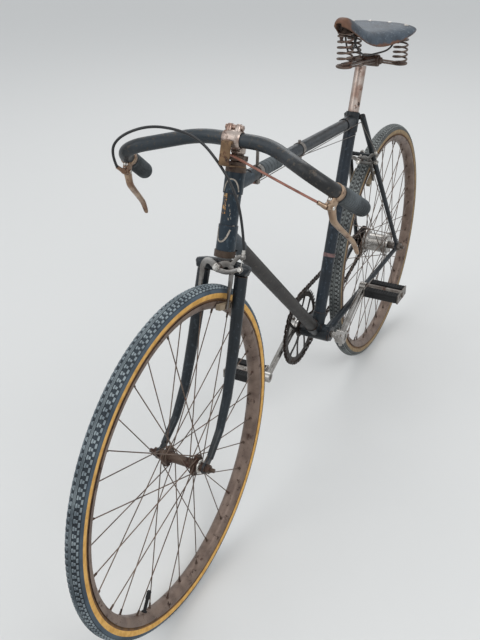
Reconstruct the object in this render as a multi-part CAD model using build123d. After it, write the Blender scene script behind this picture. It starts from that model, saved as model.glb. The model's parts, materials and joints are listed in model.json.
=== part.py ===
from build123d import *
import os
from math import atan, atan2, cos, hypot, pi, radians, sin, sqrt, tan

# A light roadster-built racing bicycle: lugged steel frame, 26 inch wheels, hub gear, cottered cranks.
# Millimetres. While it is built: X forward, Y to the rider's left, Z up, X = 0 at the bottom bracket, Z = 0 on the ground.
# On export everything moves so that the origin is the point of the saddle top where the rider sits.

# Wheels and frame geometry
TYRE_R = 330.0
BB_HEIGHT = 268.0
FRONT_REACH = 645.0
REAR_REACH = 435.0
HEAD_ANGLE = 72.0
SEAT_ANGLE = 70.7
FORK_RAKE = 66.0
SEAT_TUBE_LENGTH = 529.0
HEAD_TUBE_LOW_Z = 677.0
HEAD_TUBE_HIGH_Z = 810.0
TOP_TUBE_HEAD_Z = 789.0
TOP_TUBE_DOWN_SEAT_TUBE = 20.0
DOWN_TUBE_HEAD_Z = 703.0

# Fits and gaps
BRAZE_GAP = 0.05
RUNNING_GAP = 0.3
SIDE_GAP = 0.3

# Frame tubes, outer radii and wall
HEAD_TUBE_R = 16.0
TOP_TUBE_R = 12.7
SEAT_TUBE_R = 14.3
DOWN_TUBE_R = 14.3
TUBE_WALL = 1.2
LUG_WALL = 1.8
STEERER_R = 12.7
SEAT_POST_R = 12.9
BB_SHELL_R = 20.0
BB_SHELL_WIDTH = 68.0
STAY_R = 7.0
STAY_TIP_R = 5.5
CHAIN_STAY_R = 9.0

# Axle ends: half widths between the dropouts, and dropout plates
FRONT_HALF_WIDTH = 46.0
REAR_HALF_WIDTH = 56.0
DROPOUT_THICK = 5.0
FRONT_AXLE_R = 3.97
REAR_AXLE_R = 4.75
FRONT_NUT_THICK = 8.0
REAR_NUT_THICK = 10.0
AXLE_END = 9.0

# Tyres, rims and spokes
TYRE_WIDTH = 34.0
RIM_EDGE_R = 301.0
RIM_WIDTH = 29.0
RIM_DEPTH = 15.0
SPOKE_R = 1.0
FRONT_SPOKES = 32
REAR_SPOKES = 40

# Chainset
CRANK_LENGTH = 165.0
CRANK_ANGLE = 156.6
RING_TEETH = 46
SPROCKET_TEETH = 18
CHAIN_PITCH = 12.7
CHAIN_LINE = 43.0
TOOTH_THICK = 2.4
CRANK_INNER = 54.0
CRANK_EYE_THICK = 16.0
CRANK_BOSS_THICK = 20.0
PEDAL_GAP = 1.5
PEDAL_LENGTH = 92.0
PEDAL_TREAD_SPACING = 46.0

# Handlebar, brake and saddle places
BAR_R = 12.7
BAR_HEIGHT = 870.0
BAR_X = 426.0
GRIP_R = 15.8
GRIP_LENGTH = 88.0
SADDLE_SEAT_X = -235.0
SADDLE_SEAT_Z = 944.0
SEAT_POST_TOP_Z = 866.0

REAR_AXLE = Vector(-REAR_REACH, 0, TYRE_R)
FRONT_AXLE = Vector(FRONT_REACH, 0, TYRE_R)
BB = Vector(0, 0, BB_HEIGHT)
STEER_DIR = Vector(-cos(radians(HEAD_ANGLE)), 0, sin(radians(HEAD_ANGLE)))
AHEAD_DIR = Vector(sin(radians(HEAD_ANGLE)), 0, cos(radians(HEAD_ANGLE)))
SEAT_DIR = Vector(-cos(radians(SEAT_ANGLE)), 0, sin(radians(SEAT_ANGLE)))
AXIS_FOOT = FRONT_AXLE - AHEAD_DIR * FORK_RAKE
SEAT_LUG_TOP = BB + SEAT_DIR * SEAT_TUBE_LENGTH
ORIGIN = Vector(SADDLE_SEAT_X, 0, SADDLE_SEAT_Z)
RING_PITCH_R = CHAIN_PITCH / (2 * sin(pi / RING_TEETH))
SPROCKET_PITCH_R = CHAIN_PITCH / (2 * sin(pi / SPROCKET_TEETH))


# Steering coordinates: up the steering axis from the level of the front axle, ahead of it, and to the left
def steer(up, ahead=0.0, left=0.0):
    return AXIS_FOOT + STEER_DIR * up + AHEAD_DIR * ahead + Vector(0, left, 0)


def up_axis(z):
    return (z - AXIS_FOOT.Z) / STEER_DIR.Z


HEAD_LOW = up_axis(HEAD_TUBE_LOW_Z)
HEAD_HIGH = up_axis(HEAD_TUBE_HIGH_Z)
TOP_TUBE_HEAD = steer(up_axis(TOP_TUBE_HEAD_Z))
TOP_TUBE_SEAT = BB + SEAT_DIR * (SEAT_TUBE_LENGTH - TOP_TUBE_DOWN_SEAT_TUBE)
DOWN_TUBE_HEAD = steer(up_axis(DOWN_TUBE_HEAD_Z))


# Basic forms
def rod(start, end, radius, end_radius=None):
    start, end = Vector(start), Vector(end)
    plane = Plane(origin=start, z_dir=(end - start))
    length = (end - start).length
    if end_radius is None:
        return Solid.make_cylinder(radius, length, plane)
    return Solid.make_cone(radius, end_radius, length, plane)


def pipe(start, end, outer, inner):
    reach = (Vector(end) - Vector(start)).normalized()
    bore = rod(Vector(start) - reach, Vector(end) + reach, inner)
    return rod(start, end, outer) - bore


def disc(centre, normal, radius, thick, hole=0.0):
    half = Vector(normal).normalized() * (thick / 2)
    plate = rod(Vector(centre) - half, Vector(centre) + half, radius)
    if hole:
        plate = plate - rod(Vector(centre) - half * 2, Vector(centre) + half * 2, hole)
    return plate


def bar_block(centre, x_dir, z_dir, length, width, height):
    plane = Plane(origin=centre, x_dir=x_dir, z_dir=z_dir)
    return plane * Box(length, width, height)


def swept_rod(points, radii, radius):
    path = FilletPolyline(*points, radius=radii)
    section = Plane(origin=path @ 0, z_dir=path % 0) * Circle(radius)
    return sweep(section, path=path)


def revolved(profile_points, centre):
    # profile_points are (radius, y), turned round the Y axis through centre
    face = make_face(Polyline(*[(r, y, 0) for r, y in profile_points], close=True))
    turned = revolve(face, axis=Axis.Y)
    return Pos(centre.X, centre.Y, centre.Z) * turned


def solids_of(*shapes):
    found = []
    for shape in shapes:
        if isinstance(shape, (list, tuple)):
            found.extend(solids_of(*shape))
        else:
            found.extend(shape.solids())
    return found


def save(name, *shapes):
    solids = [s.moved(Location(ORIGIN * -1)) for s in solids_of(*shapes)]
    node = Compound(label=name, children=solids) if len(solids) > 1 else solids[0]
    node.label = name
    export_step(node, f"parts/{name}.step")


# Frame: tubes
def head_tube():
    return pipe(steer(HEAD_LOW), steer(HEAD_HIGH), HEAD_TUBE_R, HEAD_TUBE_R - TUBE_WALL)


def trimmed_tube(start, end, radius, start_cut, end_cut):
    tube = pipe(start, end, radius, radius - TUBE_WALL)
    return tube - start_cut - end_cut


HEAD_SOLID = rod(steer(HEAD_LOW - 60), steer(HEAD_HIGH + 60), HEAD_TUBE_R + BRAZE_GAP)
SEAT_SOLID = rod(BB - SEAT_DIR * 5, SEAT_LUG_TOP + SEAT_DIR * 120, SEAT_TUBE_R + BRAZE_GAP)
SHELL_SOLID = rod(BB - Vector(0, 60, 0), BB + Vector(0, 60, 0), BB_SHELL_R + BRAZE_GAP)


def top_tube():
    return trimmed_tube(TOP_TUBE_SEAT, TOP_TUBE_HEAD, TOP_TUBE_R, SEAT_SOLID, HEAD_SOLID)


def down_tube():
    tube = trimmed_tube(BB, DOWN_TUBE_HEAD, DOWN_TUBE_R, SHELL_SOLID, HEAD_SOLID)
    return tube - SEAT_SOLID - rod(steer(HEAD_LOW - 40), steer(HEAD_LOW), HEAD_TUBE_R * 2)


def seat_tube():
    tube = pipe(BB, SEAT_LUG_TOP, SEAT_TUBE_R, SEAT_POST_R + BRAZE_GAP)
    return tube - SHELL_SOLID


# Frame: lugs, each a collar on one tube with sockets for the others
def sleeve(start, end, radius):
    return rod(start, end, radius + LUG_WALL)


def along(start, end, distance):
    return Vector(start) + (Vector(end) - Vector(start)).normalized() * distance


UPPER_COLLAR = 34.0
LOWER_COLLAR = 40.0
SOCKET_LENGTH = 42.0


def head_lugs():
    top = up_axis(TOP_TUBE_HEAD_Z)
    upper = sleeve(steer(HEAD_HIGH - UPPER_COLLAR - 4), steer(HEAD_HIGH), HEAD_TUBE_R)
    upper += sleeve(TOP_TUBE_HEAD, along(TOP_TUBE_HEAD, TOP_TUBE_SEAT, SOCKET_LENGTH + 14), TOP_TUBE_R)
    upper = upper - HEAD_SOLID - rod(TOP_TUBE_HEAD, TOP_TUBE_SEAT, TOP_TUBE_R + BRAZE_GAP)
    upper = upper - rod(steer(HEAD_HIGH), steer(top + 80), HEAD_TUBE_R * 3)
    lower = sleeve(steer(HEAD_LOW), steer(HEAD_LOW + LOWER_COLLAR + 6), HEAD_TUBE_R)
    lower += sleeve(DOWN_TUBE_HEAD, along(DOWN_TUBE_HEAD, BB, SOCKET_LENGTH + 18), DOWN_TUBE_R)
    lower = lower - HEAD_SOLID - rod(DOWN_TUBE_HEAD, BB, DOWN_TUBE_R + BRAZE_GAP)
    lower = lower - rod(steer(HEAD_LOW - 40), steer(HEAD_LOW), HEAD_TUBE_R * 2)
    return upper, lower


def seat_lug():
    below = TOP_TUBE_DOWN_SEAT_TUBE + TOP_TUBE_R + 12
    lug = sleeve(SEAT_LUG_TOP - SEAT_DIR * below, SEAT_LUG_TOP, SEAT_TUBE_R)
    lug += sleeve(TOP_TUBE_SEAT, along(TOP_TUBE_SEAT, TOP_TUBE_HEAD, SOCKET_LENGTH + 12), TOP_TUBE_R)
    lug = lug - SEAT_SOLID - rod(TOP_TUBE_SEAT, TOP_TUBE_HEAD, TOP_TUBE_R + BRAZE_GAP)
    behind = SEAT_DIR.cross(Vector(0, 1, 0))
    bolt_at = SEAT_LUG_TOP - SEAT_DIR * 8 + behind * (SEAT_TUBE_R + LUG_WALL + 5)
    ears = bar_block(bolt_at, (0, 1, 0), SEAT_DIR, 26, 16, 12) - SEAT_SOLID
    bolt = rod(bolt_at - Vector(0, 17, 0), bolt_at + Vector(0, 17, 0), 4)
    return lug + ears + bolt


def bottom_bracket_shell():
    half = BB_SHELL_WIDTH / 2
    sockets = sleeve(BB, BB + SEAT_DIR * 48, SEAT_TUBE_R)
    sockets += sleeve(BB, along(BB, DOWN_TUBE_HEAD, 50), DOWN_TUBE_R)
    for side in (1, -1):
        start, end = chain_stay_line(side)
        sockets += rod(start, along(start, end, 36), CHAIN_STAY_R + LUG_WALL)
    sockets = sockets - rod(BB, BB + SEAT_DIR * 70, SEAT_TUBE_R + BRAZE_GAP)
    sockets = sockets - rod(BB, along(BB, DOWN_TUBE_HEAD, 70), DOWN_TUBE_R + BRAZE_GAP)
    for side in (1, -1):
        start, end = chain_stay_line(side)
        sockets = sockets - rod(start, end, CHAIN_STAY_R + BRAZE_GAP)
    shell = sockets + rod(BB - Vector(0, half, 0), BB + Vector(0, half, 0), BB_SHELL_R)
    shell += rod(BB - Vector(0, half + 5, 0), BB + Vector(0, half + 5, 0), BB_SHELL_R - 2)
    return shell - rod(BB - Vector(0, 60, 0), BB + Vector(0, 60, 0), SPINDLE_R + 1.0)


SPINDLE_R = 8.0

# Stays run from the bottom bracket and seat lug to the dropouts
DROPOUT_Y = REAR_HALF_WIDTH + DROPOUT_THICK / 2
CHAIN_STAY_START = (-14.0, 25.0, 2.0)
STAY_END_BACK = 22.0


def chain_stay_line(side):
    x, y, z = CHAIN_STAY_START
    start = BB + Vector(x, side * y, z)
    end = REAR_AXLE + Vector(STAY_END_BACK, side * DROPOUT_Y, -4)
    return start, end


def seat_stay_line(side):
    start = SEAT_LUG_TOP - SEAT_DIR * 8 + Vector(-14, side * 19, -2)
    end = REAR_AXLE + Vector(12, side * DROPOUT_Y, 20)
    return start, end


def dropout(side):
    centre = REAR_AXLE + Vector(0, side * DROPOUT_Y, 0)
    plate = disc(centre, (0, 1, 0), 15, DROPOUT_THICK)
    plate += bar_block(centre + Vector(14, 0, -3), (1, 0, 0), (0, 0, 1), 28, DROPOUT_THICK, 16)
    plate += bar_block(centre + Vector(6, 0, 12), (1, 0, 0), (0, 0, 1), 14, DROPOUT_THICK, 20)
    slot = rod(centre - Vector(0, 9, 0), centre + Vector(0, 9, 0), REAR_AXLE_R + 0.25)
    return plate - slot


def chain_stay(side):
    start, end = chain_stay_line(side)
    stay = rod(start, end, CHAIN_STAY_R, STAY_TIP_R) - SHELL_SOLID
    return stay + dropout(side) - axle_bore(side) - inside_dropout()


def axle_bore(side):
    centre = REAR_AXLE + Vector(0, side * DROPOUT_Y, 0)
    return rod(centre - Vector(0, 9, 0), centre + Vector(0, 9, 0), REAR_AXLE_R + 0.25)


def inside_dropout():
    return disc(REAR_AXLE, (0, 1, 0), 24, REAR_HALF_WIDTH * 2)


def seat_stay(side):
    start, end = seat_stay_line(side)
    stay = rod(start, end, STAY_R, STAY_TIP_R) - SEAT_LUG_PIECE - dropout(side) - axle_bore(side)
    return max(stay.solids(), key=lambda piece: piece.volume)


SEAT_LUG_PIECE = seat_lug()


BRIDGE_AT = 0.285


def stay_bridge():
    ends = []
    for side in (1, -1):
        start, end = seat_stay_line(side)
        ends.append(start + (end - start) * BRIDGE_AT)
    bridge = rod(ends[1], ends[0], 5.0)
    for side in (1, -1):
        start, end = seat_stay_line(side)
        bridge = bridge - rod(start, end, STAY_R, STAY_TIP_R)
    bridge = max(bridge.solids(), key=lambda s: s.volume)
    middle, _, ahead = stay_frame()
    return bridge - rod(middle - ahead * 20, middle + ahead * 20, CALIPER_BOLT_R + BRAZE_GAP)


# Headset
def headset_cups():
    bore = rod(steer(HEAD_LOW - 60), steer(HEAD_HIGH + 60), STEERER_R + 1.0)
    low = rod(steer(HEAD_LOW - 12), steer(HEAD_LOW), HEAD_TUBE_R + 3.5)
    high = rod(steer(HEAD_HIGH), steer(HEAD_HIGH + 9), HEAD_TUBE_R + 2.5)
    return low - bore, high - bore


CONE_UP = HEAD_HIGH + 9 + SIDE_GAP
BRACKET_THICK = 2.5


def headset_nuts():
    cone = pipe(steer(CONE_UP), steer(CONE_UP + 8), HEAD_TUBE_R + 1, STEERER_R)
    nut_low = CONE_UP + 8 + BRACKET_THICK
    hexagon = extrude(Plane(origin=steer(nut_low), z_dir=STEER_DIR) * RegularPolygon(19, 6), 9)
    nut = hexagon - rod(steer(nut_low - 1), steer(nut_low + 12), STEERER_R)
    return cone, nut


def lamp_bracket():
    foot_up = CONE_UP + 8 + BRACKET_THICK / 2
    foot_reach = LAMP_AHEAD - 10
    plate = disc(steer(foot_up), STEER_DIR, 18, BRACKET_THICK)
    plate += bar_block(steer(foot_up, 10 + foot_reach / 2), AHEAD_DIR, STEER_DIR, foot_reach, 20, BRACKET_THICK)
    plate = plate - rod(steer(foot_up - 9), steer(foot_up + 9), STEERER_R + BRAZE_GAP)
    upright = bar_block(steer(foot_up + 19, LAMP_AHEAD), AHEAD_DIR, STEER_DIR, BRACKET_THICK, 20, 40)
    lip = rod(steer(foot_up + 39, LAMP_AHEAD - 2.5, -10), steer(foot_up + 39, LAMP_AHEAD - 2.5, 10), 3.6)
    return plate + upright + lip


LAMP_AHEAD = 50.0


# Fork
CROWN_LOW = 346.0
CROWN_HIGH = 370.0
CROWN_HALF = 52.0
BLADE_TOP_Y = 38.0
BLADE_TOP_R = 12.0
BLADE_TIP_R = 6.5


def fork_crown():
    crown = bar_block(steer((CROWN_LOW + CROWN_HIGH) / 2), (0, 1, 0), STEER_DIR,
                      CROWN_HALF * 2, 30, CROWN_HIGH - CROWN_LOW)
    crown = fillet(crown.edges().filter_by(GeomType.LINE).filter_by(lambda e: abs((e % 0).dot(STEER_DIR)) > 0.9), 9)
    crown += rod(steer(CROWN_HIGH), steer(HEAD_LOW - 12 - SIDE_GAP), HEAD_TUBE_R + 2)
    steerer_top = CONE_UP + 8 + BRACKET_THICK + 9
    crown += rod(steer(CROWN_HIGH), steer(steerer_top), STEERER_R)
    crown = crown - rod(steer(CROWN_HIGH + 60), steer(steerer_top + 1), STEM_R + BRAZE_GAP)
    bolt = rod(steer(BOLT_UP, -30), steer(BOLT_UP, 60), CALIPER_BOLT_R + BRAZE_GAP)
    return crown - bolt


STEM_R = 11.1
BOLT_UP = 358.0
CALIPER_BOLT_R = 3.5

# Blade sections: up the axis, ahead of it, share of the way out to the tip, radius
BLADE_SECTIONS = (
    (346.0, 0.0, 0.0, 12.0),
    (210.0, 0.0, 0.4, 10.8),
    (120.0, 5.0, 0.65, 9.2),
    (60.0, 22.0, 0.85, 7.8),
    (14.0, 52.0, 1.0, 6.5),
)


def fork_blade(side):
    tip_y = FRONT_HALF_WIDTH + DROPOUT_THICK / 2
    centres = [steer(up, ahead, side * (BLADE_TOP_Y + (tip_y - BLADE_TOP_Y) * share))
               for up, ahead, share, _ in BLADE_SECTIONS]
    sections = []
    for i, centre in enumerate(centres):
        before = centres[max(i - 1, 0)]
        after = centres[min(i + 1, len(centres) - 1)]
        radius = BLADE_SECTIONS[i][3]
        normal = STEER_DIR * -1 if i == 0 else after - before
        sections.append(Plane(origin=centre, z_dir=normal) * Circle(radius))
    blade = loft(sections, ruled=True)
    end = FRONT_AXLE + Vector(0, side * tip_y, 0)
    tab = disc(end, (0, 1, 0), 11, DROPOUT_THICK)
    tab += bar_block((end + centres[-1]) * 0.5, centres[-1] - end, (0, 1, 0), 26, 13, DROPOUT_THICK)
    axle = rod(end - Vector(0, 9, 0), end + Vector(0, 9, 0), FRONT_AXLE_R + 0.2)
    inside = disc(FRONT_AXLE, (0, 1, 0), 24, FRONT_HALF_WIDTH * 2)
    return blade + tab - axle - inside


# Stem and handlebar
STEM_CLAMP_UP = (Vector(BAR_X, 0, BAR_HEIGHT) - AXIS_FOOT).dot(STEER_DIR)
STEM_CLAMP_AHEAD = (Vector(BAR_X, 0, BAR_HEIGHT) - AXIS_FOOT).dot(AHEAD_DIR)
STEM_CLAMP_WIDTH = 34.0
STEM_CLAMP_R = 17.5


def bar_points(side):
    # middle, start of the forward sweep, outer bend, end of the grip
    return [Vector(BAR_X, 0, BAR_HEIGHT),
            Vector(BAR_X, side * 66, BAR_HEIGHT),
            Vector(BAR_X + 72, side * 190, BAR_HEIGHT - 22),
            Vector(BAR_X - 53, side * 222, BAR_HEIGHT - 107)]


BAR_BEND_RADII = (120.0, 40.0)


def handlebar():
    left = bar_points(1)
    right = bar_points(-1)[1:]
    points = right[::-1] + left[1:]
    radii = (BAR_BEND_RADII[1], BAR_BEND_RADII[0], BAR_BEND_RADII[0], BAR_BEND_RADII[1])
    return swept_rod(points, radii, BAR_R)


def grip(side):
    corner, end = bar_points(side)[2:]
    start = along(end, corner, GRIP_LENGTH)
    tip = along(end, corner, -6)
    body = rod(start, tip, GRIP_R)
    body = fillet(body.edges().sort_by(lambda e: (e.center() - tip).length)[:1], 5)
    return body - rod(start - (tip - start).normalized(), end, BAR_R + BRAZE_GAP)


def stem():
    clamp_at = steer(STEM_CLAMP_UP, STEM_CLAMP_AHEAD)
    half = Vector(0, STEM_CLAMP_WIDTH / 2, 0)
    body = rod(steer(CROWN_HIGH + 70), steer(STEM_CLAMP_UP - 6), STEM_R)
    body += rod(clamp_at - half, clamp_at + half, STEM_CLAMP_R)
    body += bar_block(steer(STEM_CLAMP_UP - 8, STEM_CLAMP_AHEAD / 2), AHEAD_DIR, STEER_DIR, STEM_CLAMP_AHEAD, 22, 18)
    ears = bar_block(clamp_at + STEER_DIR * 19, AHEAD_DIR, STEER_DIR, 18, 22, 12)
    body += ears
    bolt = rod(clamp_at + STEER_DIR * 20 - Vector(0, 17, 0), clamp_at + STEER_DIR * 20 + Vector(0, 17, 0), 5)
    body += bolt
    return body - rod(clamp_at - half * 2, clamp_at + half * 2, BAR_R + BRAZE_GAP)


# Brake levers hang under the bar just inside the grips


def lever_nose(side):
    corner, end = bar_points(side)[2:]
    clamp_at = along(end, corner, GRIP_LENGTH + 9)
    lie = (end - corner).normalized()
    down = (Vector(0, 0, -1) - lie * Vector(0, 0, -1).dot(lie)).normalized()
    return clamp_at + down * 30 - lie * 14


def brake_lever(side):
    corner, end = bar_points(side)[2:]
    clamp_at = along(end, corner, GRIP_LENGTH + 9)
    lie = (end - corner).normalized()
    down = (Vector(0, 0, -1) - lie * Vector(0, 0, -1).dot(lie)).normalized()
    band = pipe(clamp_at - lie * 6, clamp_at + lie * 6, BAR_R + 2.4, BAR_R + BRAZE_GAP)
    pivot = clamp_at + down * 27 - lie * 4
    across = lie.cross(down).normalized()
    body = bar_block(clamp_at + down * 20 - lie * 2, lie, down, 22, 14, 16)
    band = band + (body - rod(clamp_at - lie * 20, clamp_at + lie * 20, BAR_R + BRAZE_GAP))
    pin = rod(pivot - across * 9, pivot + across * 9, 2.5)
    nose = lever_nose(side)
    first, second = [Vector(*point) for point in (REAR_CABLE if side > 0 else FRONT_CABLE)[:2]]
    aim = (second - first).normalized()
    band += rod(pivot, nose, 5.5) + Pos(*nose) * Sphere(5.5)
    band += rod(nose, first - aim * SIDE_GAP, 3.6)
    knee = pivot + down * 18 + lie * 30
    reach = knee + lie * 81 + down * 14
    tip = reach + lie * 28 + down * 14
    blade = rod(pivot, knee, 5.0)
    blade += Pos(*knee) * Sphere(5.0)
    blade += rod(knee, reach, 5.0, 4.2)
    blade += Pos(*reach) * Sphere(4.2)
    blade += rod(reach, tip, 4.2, 3.6)
    return band + pin + blade


# Side-pull calipers: two flat arms on one bolt, seen as an outline of (sideways, down from the bolt)
ARM_THICK = 4.0
ARM_LAYER = ARM_THICK + 0.3
SHOE_OUT = RIM_WIDTH / 2 + 2.5
SHOE_SIZE = (44.0, 9.0, 10.0)


def caliper_arm(at, down_dir, bolt_dir, reach, side, layer):
    foot = SHOE_OUT + SHOE_SIZE[1] + 0.05
    outline = ((-7.0, -8.0), (19.0, -15.0), (31.0, -5.0), (33.0, reach * 0.5), (foot + 5, reach + 5),
               (foot, reach + 5), (foot, reach - 8), (23.0, reach * 0.45), (17.0, 4.0), (6.0, 9.0), (-7.0, 7.0))
    plane_at = at + bolt_dir * (layer * ARM_LAYER)
    corners = [plane_at + Vector(0, side * out, 0) + down_dir * down for out, down in outline]
    arm = extrude(make_face(Polyline(*corners, close=True)), ARM_THICK, dir=bolt_dir)
    # both cable ends are on the left, one above the other
    middle = plane_at + bolt_dir * (ARM_THICK / 2)
    lug_end = middle + Vector(0, CABLE_LUG_OUT, 0) - down_dir * CABLE_LUG_UP[layer]
    arm += bar_block((middle + lug_end) * 0.5, lug_end - middle, bolt_dir, (lug_end - middle).length, 9, ARM_THICK)
    arm += rod(lug_end - bolt_dir * (ARM_THICK / 2), lug_end + bolt_dir * (ARM_THICK / 2), 5.5)
    if layer == 0:
        arm += rod(lug_end, lug_end - down_dir * CABLE_STOP_HEIGHT, 3.5)
    return arm - rod(at - bolt_dir * 20, at + bolt_dir * 40, CALIPER_BOLT_R + BRAZE_GAP)


CABLE_LUG_OUT = 46.0
CABLE_LUG_UP = (26.0, 4.0)
CABLE_STOP_HEIGHT = 12.0


def caliper_bolt(at, bolt_dir, back):
    front = ARM_LAYER * 2 - 0.3
    bolt = rod(at - bolt_dir * (back + 8), at + bolt_dir * (front + 9), CALIPER_BOLT_R)
    bolt += rod(at + bolt_dir * front, at + bolt_dir * (front + 6), 6.5)
    bolt += rod(at - bolt_dir * back, at - bolt_dir * (back + 5), 6.5)
    return bolt + rod(at - bolt_dir * 3, at, 6.0)


def brake_shoe(at, down_dir, bolt_dir, axle, side, pad_r):
    foot = at + down_dir * pad_drop(at, down_dir, axle, pad_r) + bolt_dir * (ARM_THICK / 2)
    length, width, height = SHOE_SIZE
    centre = foot + Vector(0, side * (SHOE_OUT + width / 2), 0)
    return bar_block(centre, bolt_dir, down_dir, length, width, height)


def pad_drop(at, down_dir, axle, pad_r):
    # how far down from the bolt the caliper's plane meets the rim's brake track
    to_axle = axle - at
    middle = to_axle.dot(down_dir)
    across_sq = to_axle.dot(to_axle) - middle ** 2
    return middle - sqrt(pad_r ** 2 - across_sq)


PAD_AXLE_R = 294.0
CALIPER_AHEAD = 19.0
CROWN_HALF_DEPTH = 15.0


def front_brake():
    at, down, ahead = steer(BOLT_UP, CALIPER_AHEAD), STEER_DIR * -1, AHEAD_DIR
    reach = pad_drop(at, down, FRONT_AXLE, PAD_AXLE_R)
    arms = [caliper_arm(at, down, ahead, reach, side, layer) for side, layer in ((1, 0), (-1, 1))]
    shoes = [brake_shoe(at, down, ahead, FRONT_AXLE, side, PAD_AXLE_R) for side in (1, -1)]
    return arms, caliper_bolt(at, ahead, CALIPER_AHEAD + CROWN_HALF_DEPTH), shoes


def stay_frame():
    start, end = seat_stay_line(1)
    down = (end - start)
    down = Vector(down.X, 0, down.Z).normalized()
    ahead = Vector(0, 1, 0).cross(down) * -1
    bridge = start + (end - start) * BRIDGE_AT
    return Vector(bridge.X, 0, bridge.Z), down, ahead if ahead.X > 0 else ahead * -1


REAR_CALIPER_AHEAD = 14.0
BRIDGE_R = 5.0


def rear_brake():
    bridge, down, ahead = stay_frame()
    at = bridge + ahead * REAR_CALIPER_AHEAD
    reach = pad_drop(at, down, REAR_AXLE, PAD_AXLE_R)
    arms = [caliper_arm(at, down, ahead, reach, side, layer) for side, layer in ((1, 0), (-1, 1))]
    shoes = [brake_shoe(at, down, ahead, REAR_AXLE, side, PAD_AXLE_R) for side in (1, -1)]
    return arms, caliper_bolt(at, ahead, REAR_CALIPER_AHEAD + BRIDGE_R), shoes


# Cables: each route is a list of chosen points, joined by arcs as large as its runs allow
CABLE_R = 2.5
REAR_HOUSING_R = 2.25
WIRE_R = 0.8
FRONT_CABLE = (
    (493, -200, 812), (503, -205, 842), (500, -184, 873), (484, -134, 893), (468, -84, 888),
    (457, -48, 871), (455, -20, 843), (457, 14, 799), (469, 38, 748), (479.2, 46, 694),
)
REAR_CABLE = (
    (484, 182, 807), (472, 128, 819), (456, 65, 833), (439, 12, 843), (425, -18, 844), (400, -31, 835),
    (384, -27, 802), (370, -22, 778), (354, -12, 767), (342, -2, 764),
)


def routed(points, radius, label):
    corners = [Vector(*point) for point in points]
    radii = []
    for before, here, after in zip(corners, corners[1:], corners[2:]):
        turn = radians((here - before).get_angle(after - here))
        shorter = min((here - before).length, (after - here).length)
        radii.append(0.45 * shorter / tan(turn / 2))
    tube = swept_rod(corners, radii, radius)
    path = FilletPolyline(*corners, radius=radii)
    print(label, "length", round(path.length, 1), "least radius", round(min(radii), 1),
          "volume ratio", round(tube.volume / (pi * radius ** 2 * path.length), 4))
    return tube


TOP_CLIP_X = 334.0
MIDDLE_CLIP_X = 139.0


def top_tube_at(x):
    share = (x - TOP_TUBE_SEAT.X) / (TOP_TUBE_HEAD.X - TOP_TUBE_SEAT.X)
    return TOP_TUBE_SEAT + (TOP_TUBE_HEAD - TOP_TUBE_SEAT) * share


def cable_clips():
    lie = (TOP_TUBE_HEAD - TOP_TUBE_SEAT).normalized()
    up = lie.cross(Vector(0, -1, 0)).normalized()
    up = up if up.Z > 0 else up * -1
    clips = []
    for x, bolt_height in ((TOP_CLIP_X, 30.0), (MIDDLE_CLIP_X, 6.0)):
        at = top_tube_at(x)
        band = pipe(at - lie * 6, at + lie * 6, TOP_TUBE_R + 1.2, TOP_TUBE_R + BRAZE_GAP)
        band += rod(at + up * (TOP_TUBE_R + 0.5), at + up * (TOP_TUBE_R + bolt_height), 3.0)
        stop = bar_block(at - up * (TOP_TUBE_R + 5), lie, up, 10, 9, 9) - rod(at - lie * 20, at + lie * 20, TOP_TUBE_R + BRAZE_GAP)
        clips.append(band + stop)
    return clips


SEAT_WIRE_TURN = (-178.0, 20.0, 745.0)


def rear_brake_wires():
    lie = (TOP_TUBE_HEAD - TOP_TUBE_SEAT).normalized()
    start = top_tube_at(TOP_CLIP_X - 7) - Vector(0, 0, TOP_TUBE_R + 6)
    bridge, down, ahead = stay_frame()
    stop_up = CABLE_LUG_UP[0] + CABLE_STOP_HEIGHT + SIDE_GAP
    arm = bridge + ahead * (REAR_CALIPER_AHEAD + ARM_THICK / 2) - down * stop_up + Vector(0, CABLE_LUG_OUT, 0)
    long_wire = swept_rod([start + Vector(0, 2, 0), SEAT_WIRE_TURN, arm], [12], WIRE_R)
    middle = top_tube_at(MIDDLE_CLIP_X - 7) - Vector(0, 0, TOP_TUBE_R + 5)
    end = BB + SEAT_DIR * 478 + Vector(0, SEAT_TUBE_R + WIRE_R + BRAZE_GAP, 0)
    return long_wire, rod(middle + Vector(0, -2, 0), end, WIRE_R)


# Wheels
def tyre(centre):
    inner = RIM_EDGE_R - 5
    half = TYRE_WIDTH / 2
    mid = TYRE_R - half
    seat = RIM_WIDTH / 2 - 3
    points = [(inner, -seat), (RIM_EDGE_R + 2, -seat), (mid - 6, -half + 1.5), (mid + 4, -half),
              (mid + 12, -half + 5.5), (TYRE_R - 1, -half + 12), (TYRE_R, -1.5),
              (TYRE_R, 1.5), (TYRE_R - 1, half - 12), (mid + 12, half - 5.5), (mid + 4, half),
              (mid - 6, half - 1.5), (RIM_EDGE_R + 2, seat), (inner, seat)]
    return revolved(points, centre)


def rim(centre):
    half = RIM_WIDTH / 2
    seat = half - 3
    floor = RIM_EDGE_R - 5
    low = RIM_EDGE_R - RIM_DEPTH
    points = [(RIM_EDGE_R, -half), (RIM_EDGE_R, -seat - BRAZE_GAP), (floor - BRAZE_GAP, -seat - BRAZE_GAP),
              (floor - BRAZE_GAP, seat + BRAZE_GAP), (RIM_EDGE_R, seat + BRAZE_GAP), (RIM_EDGE_R, half),
              (floor - 4, half), (low, half - 5), (low - 1, 0), (low, -half + 5), (floor - 4, -half)]
    return revolved(points, centre)


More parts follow.
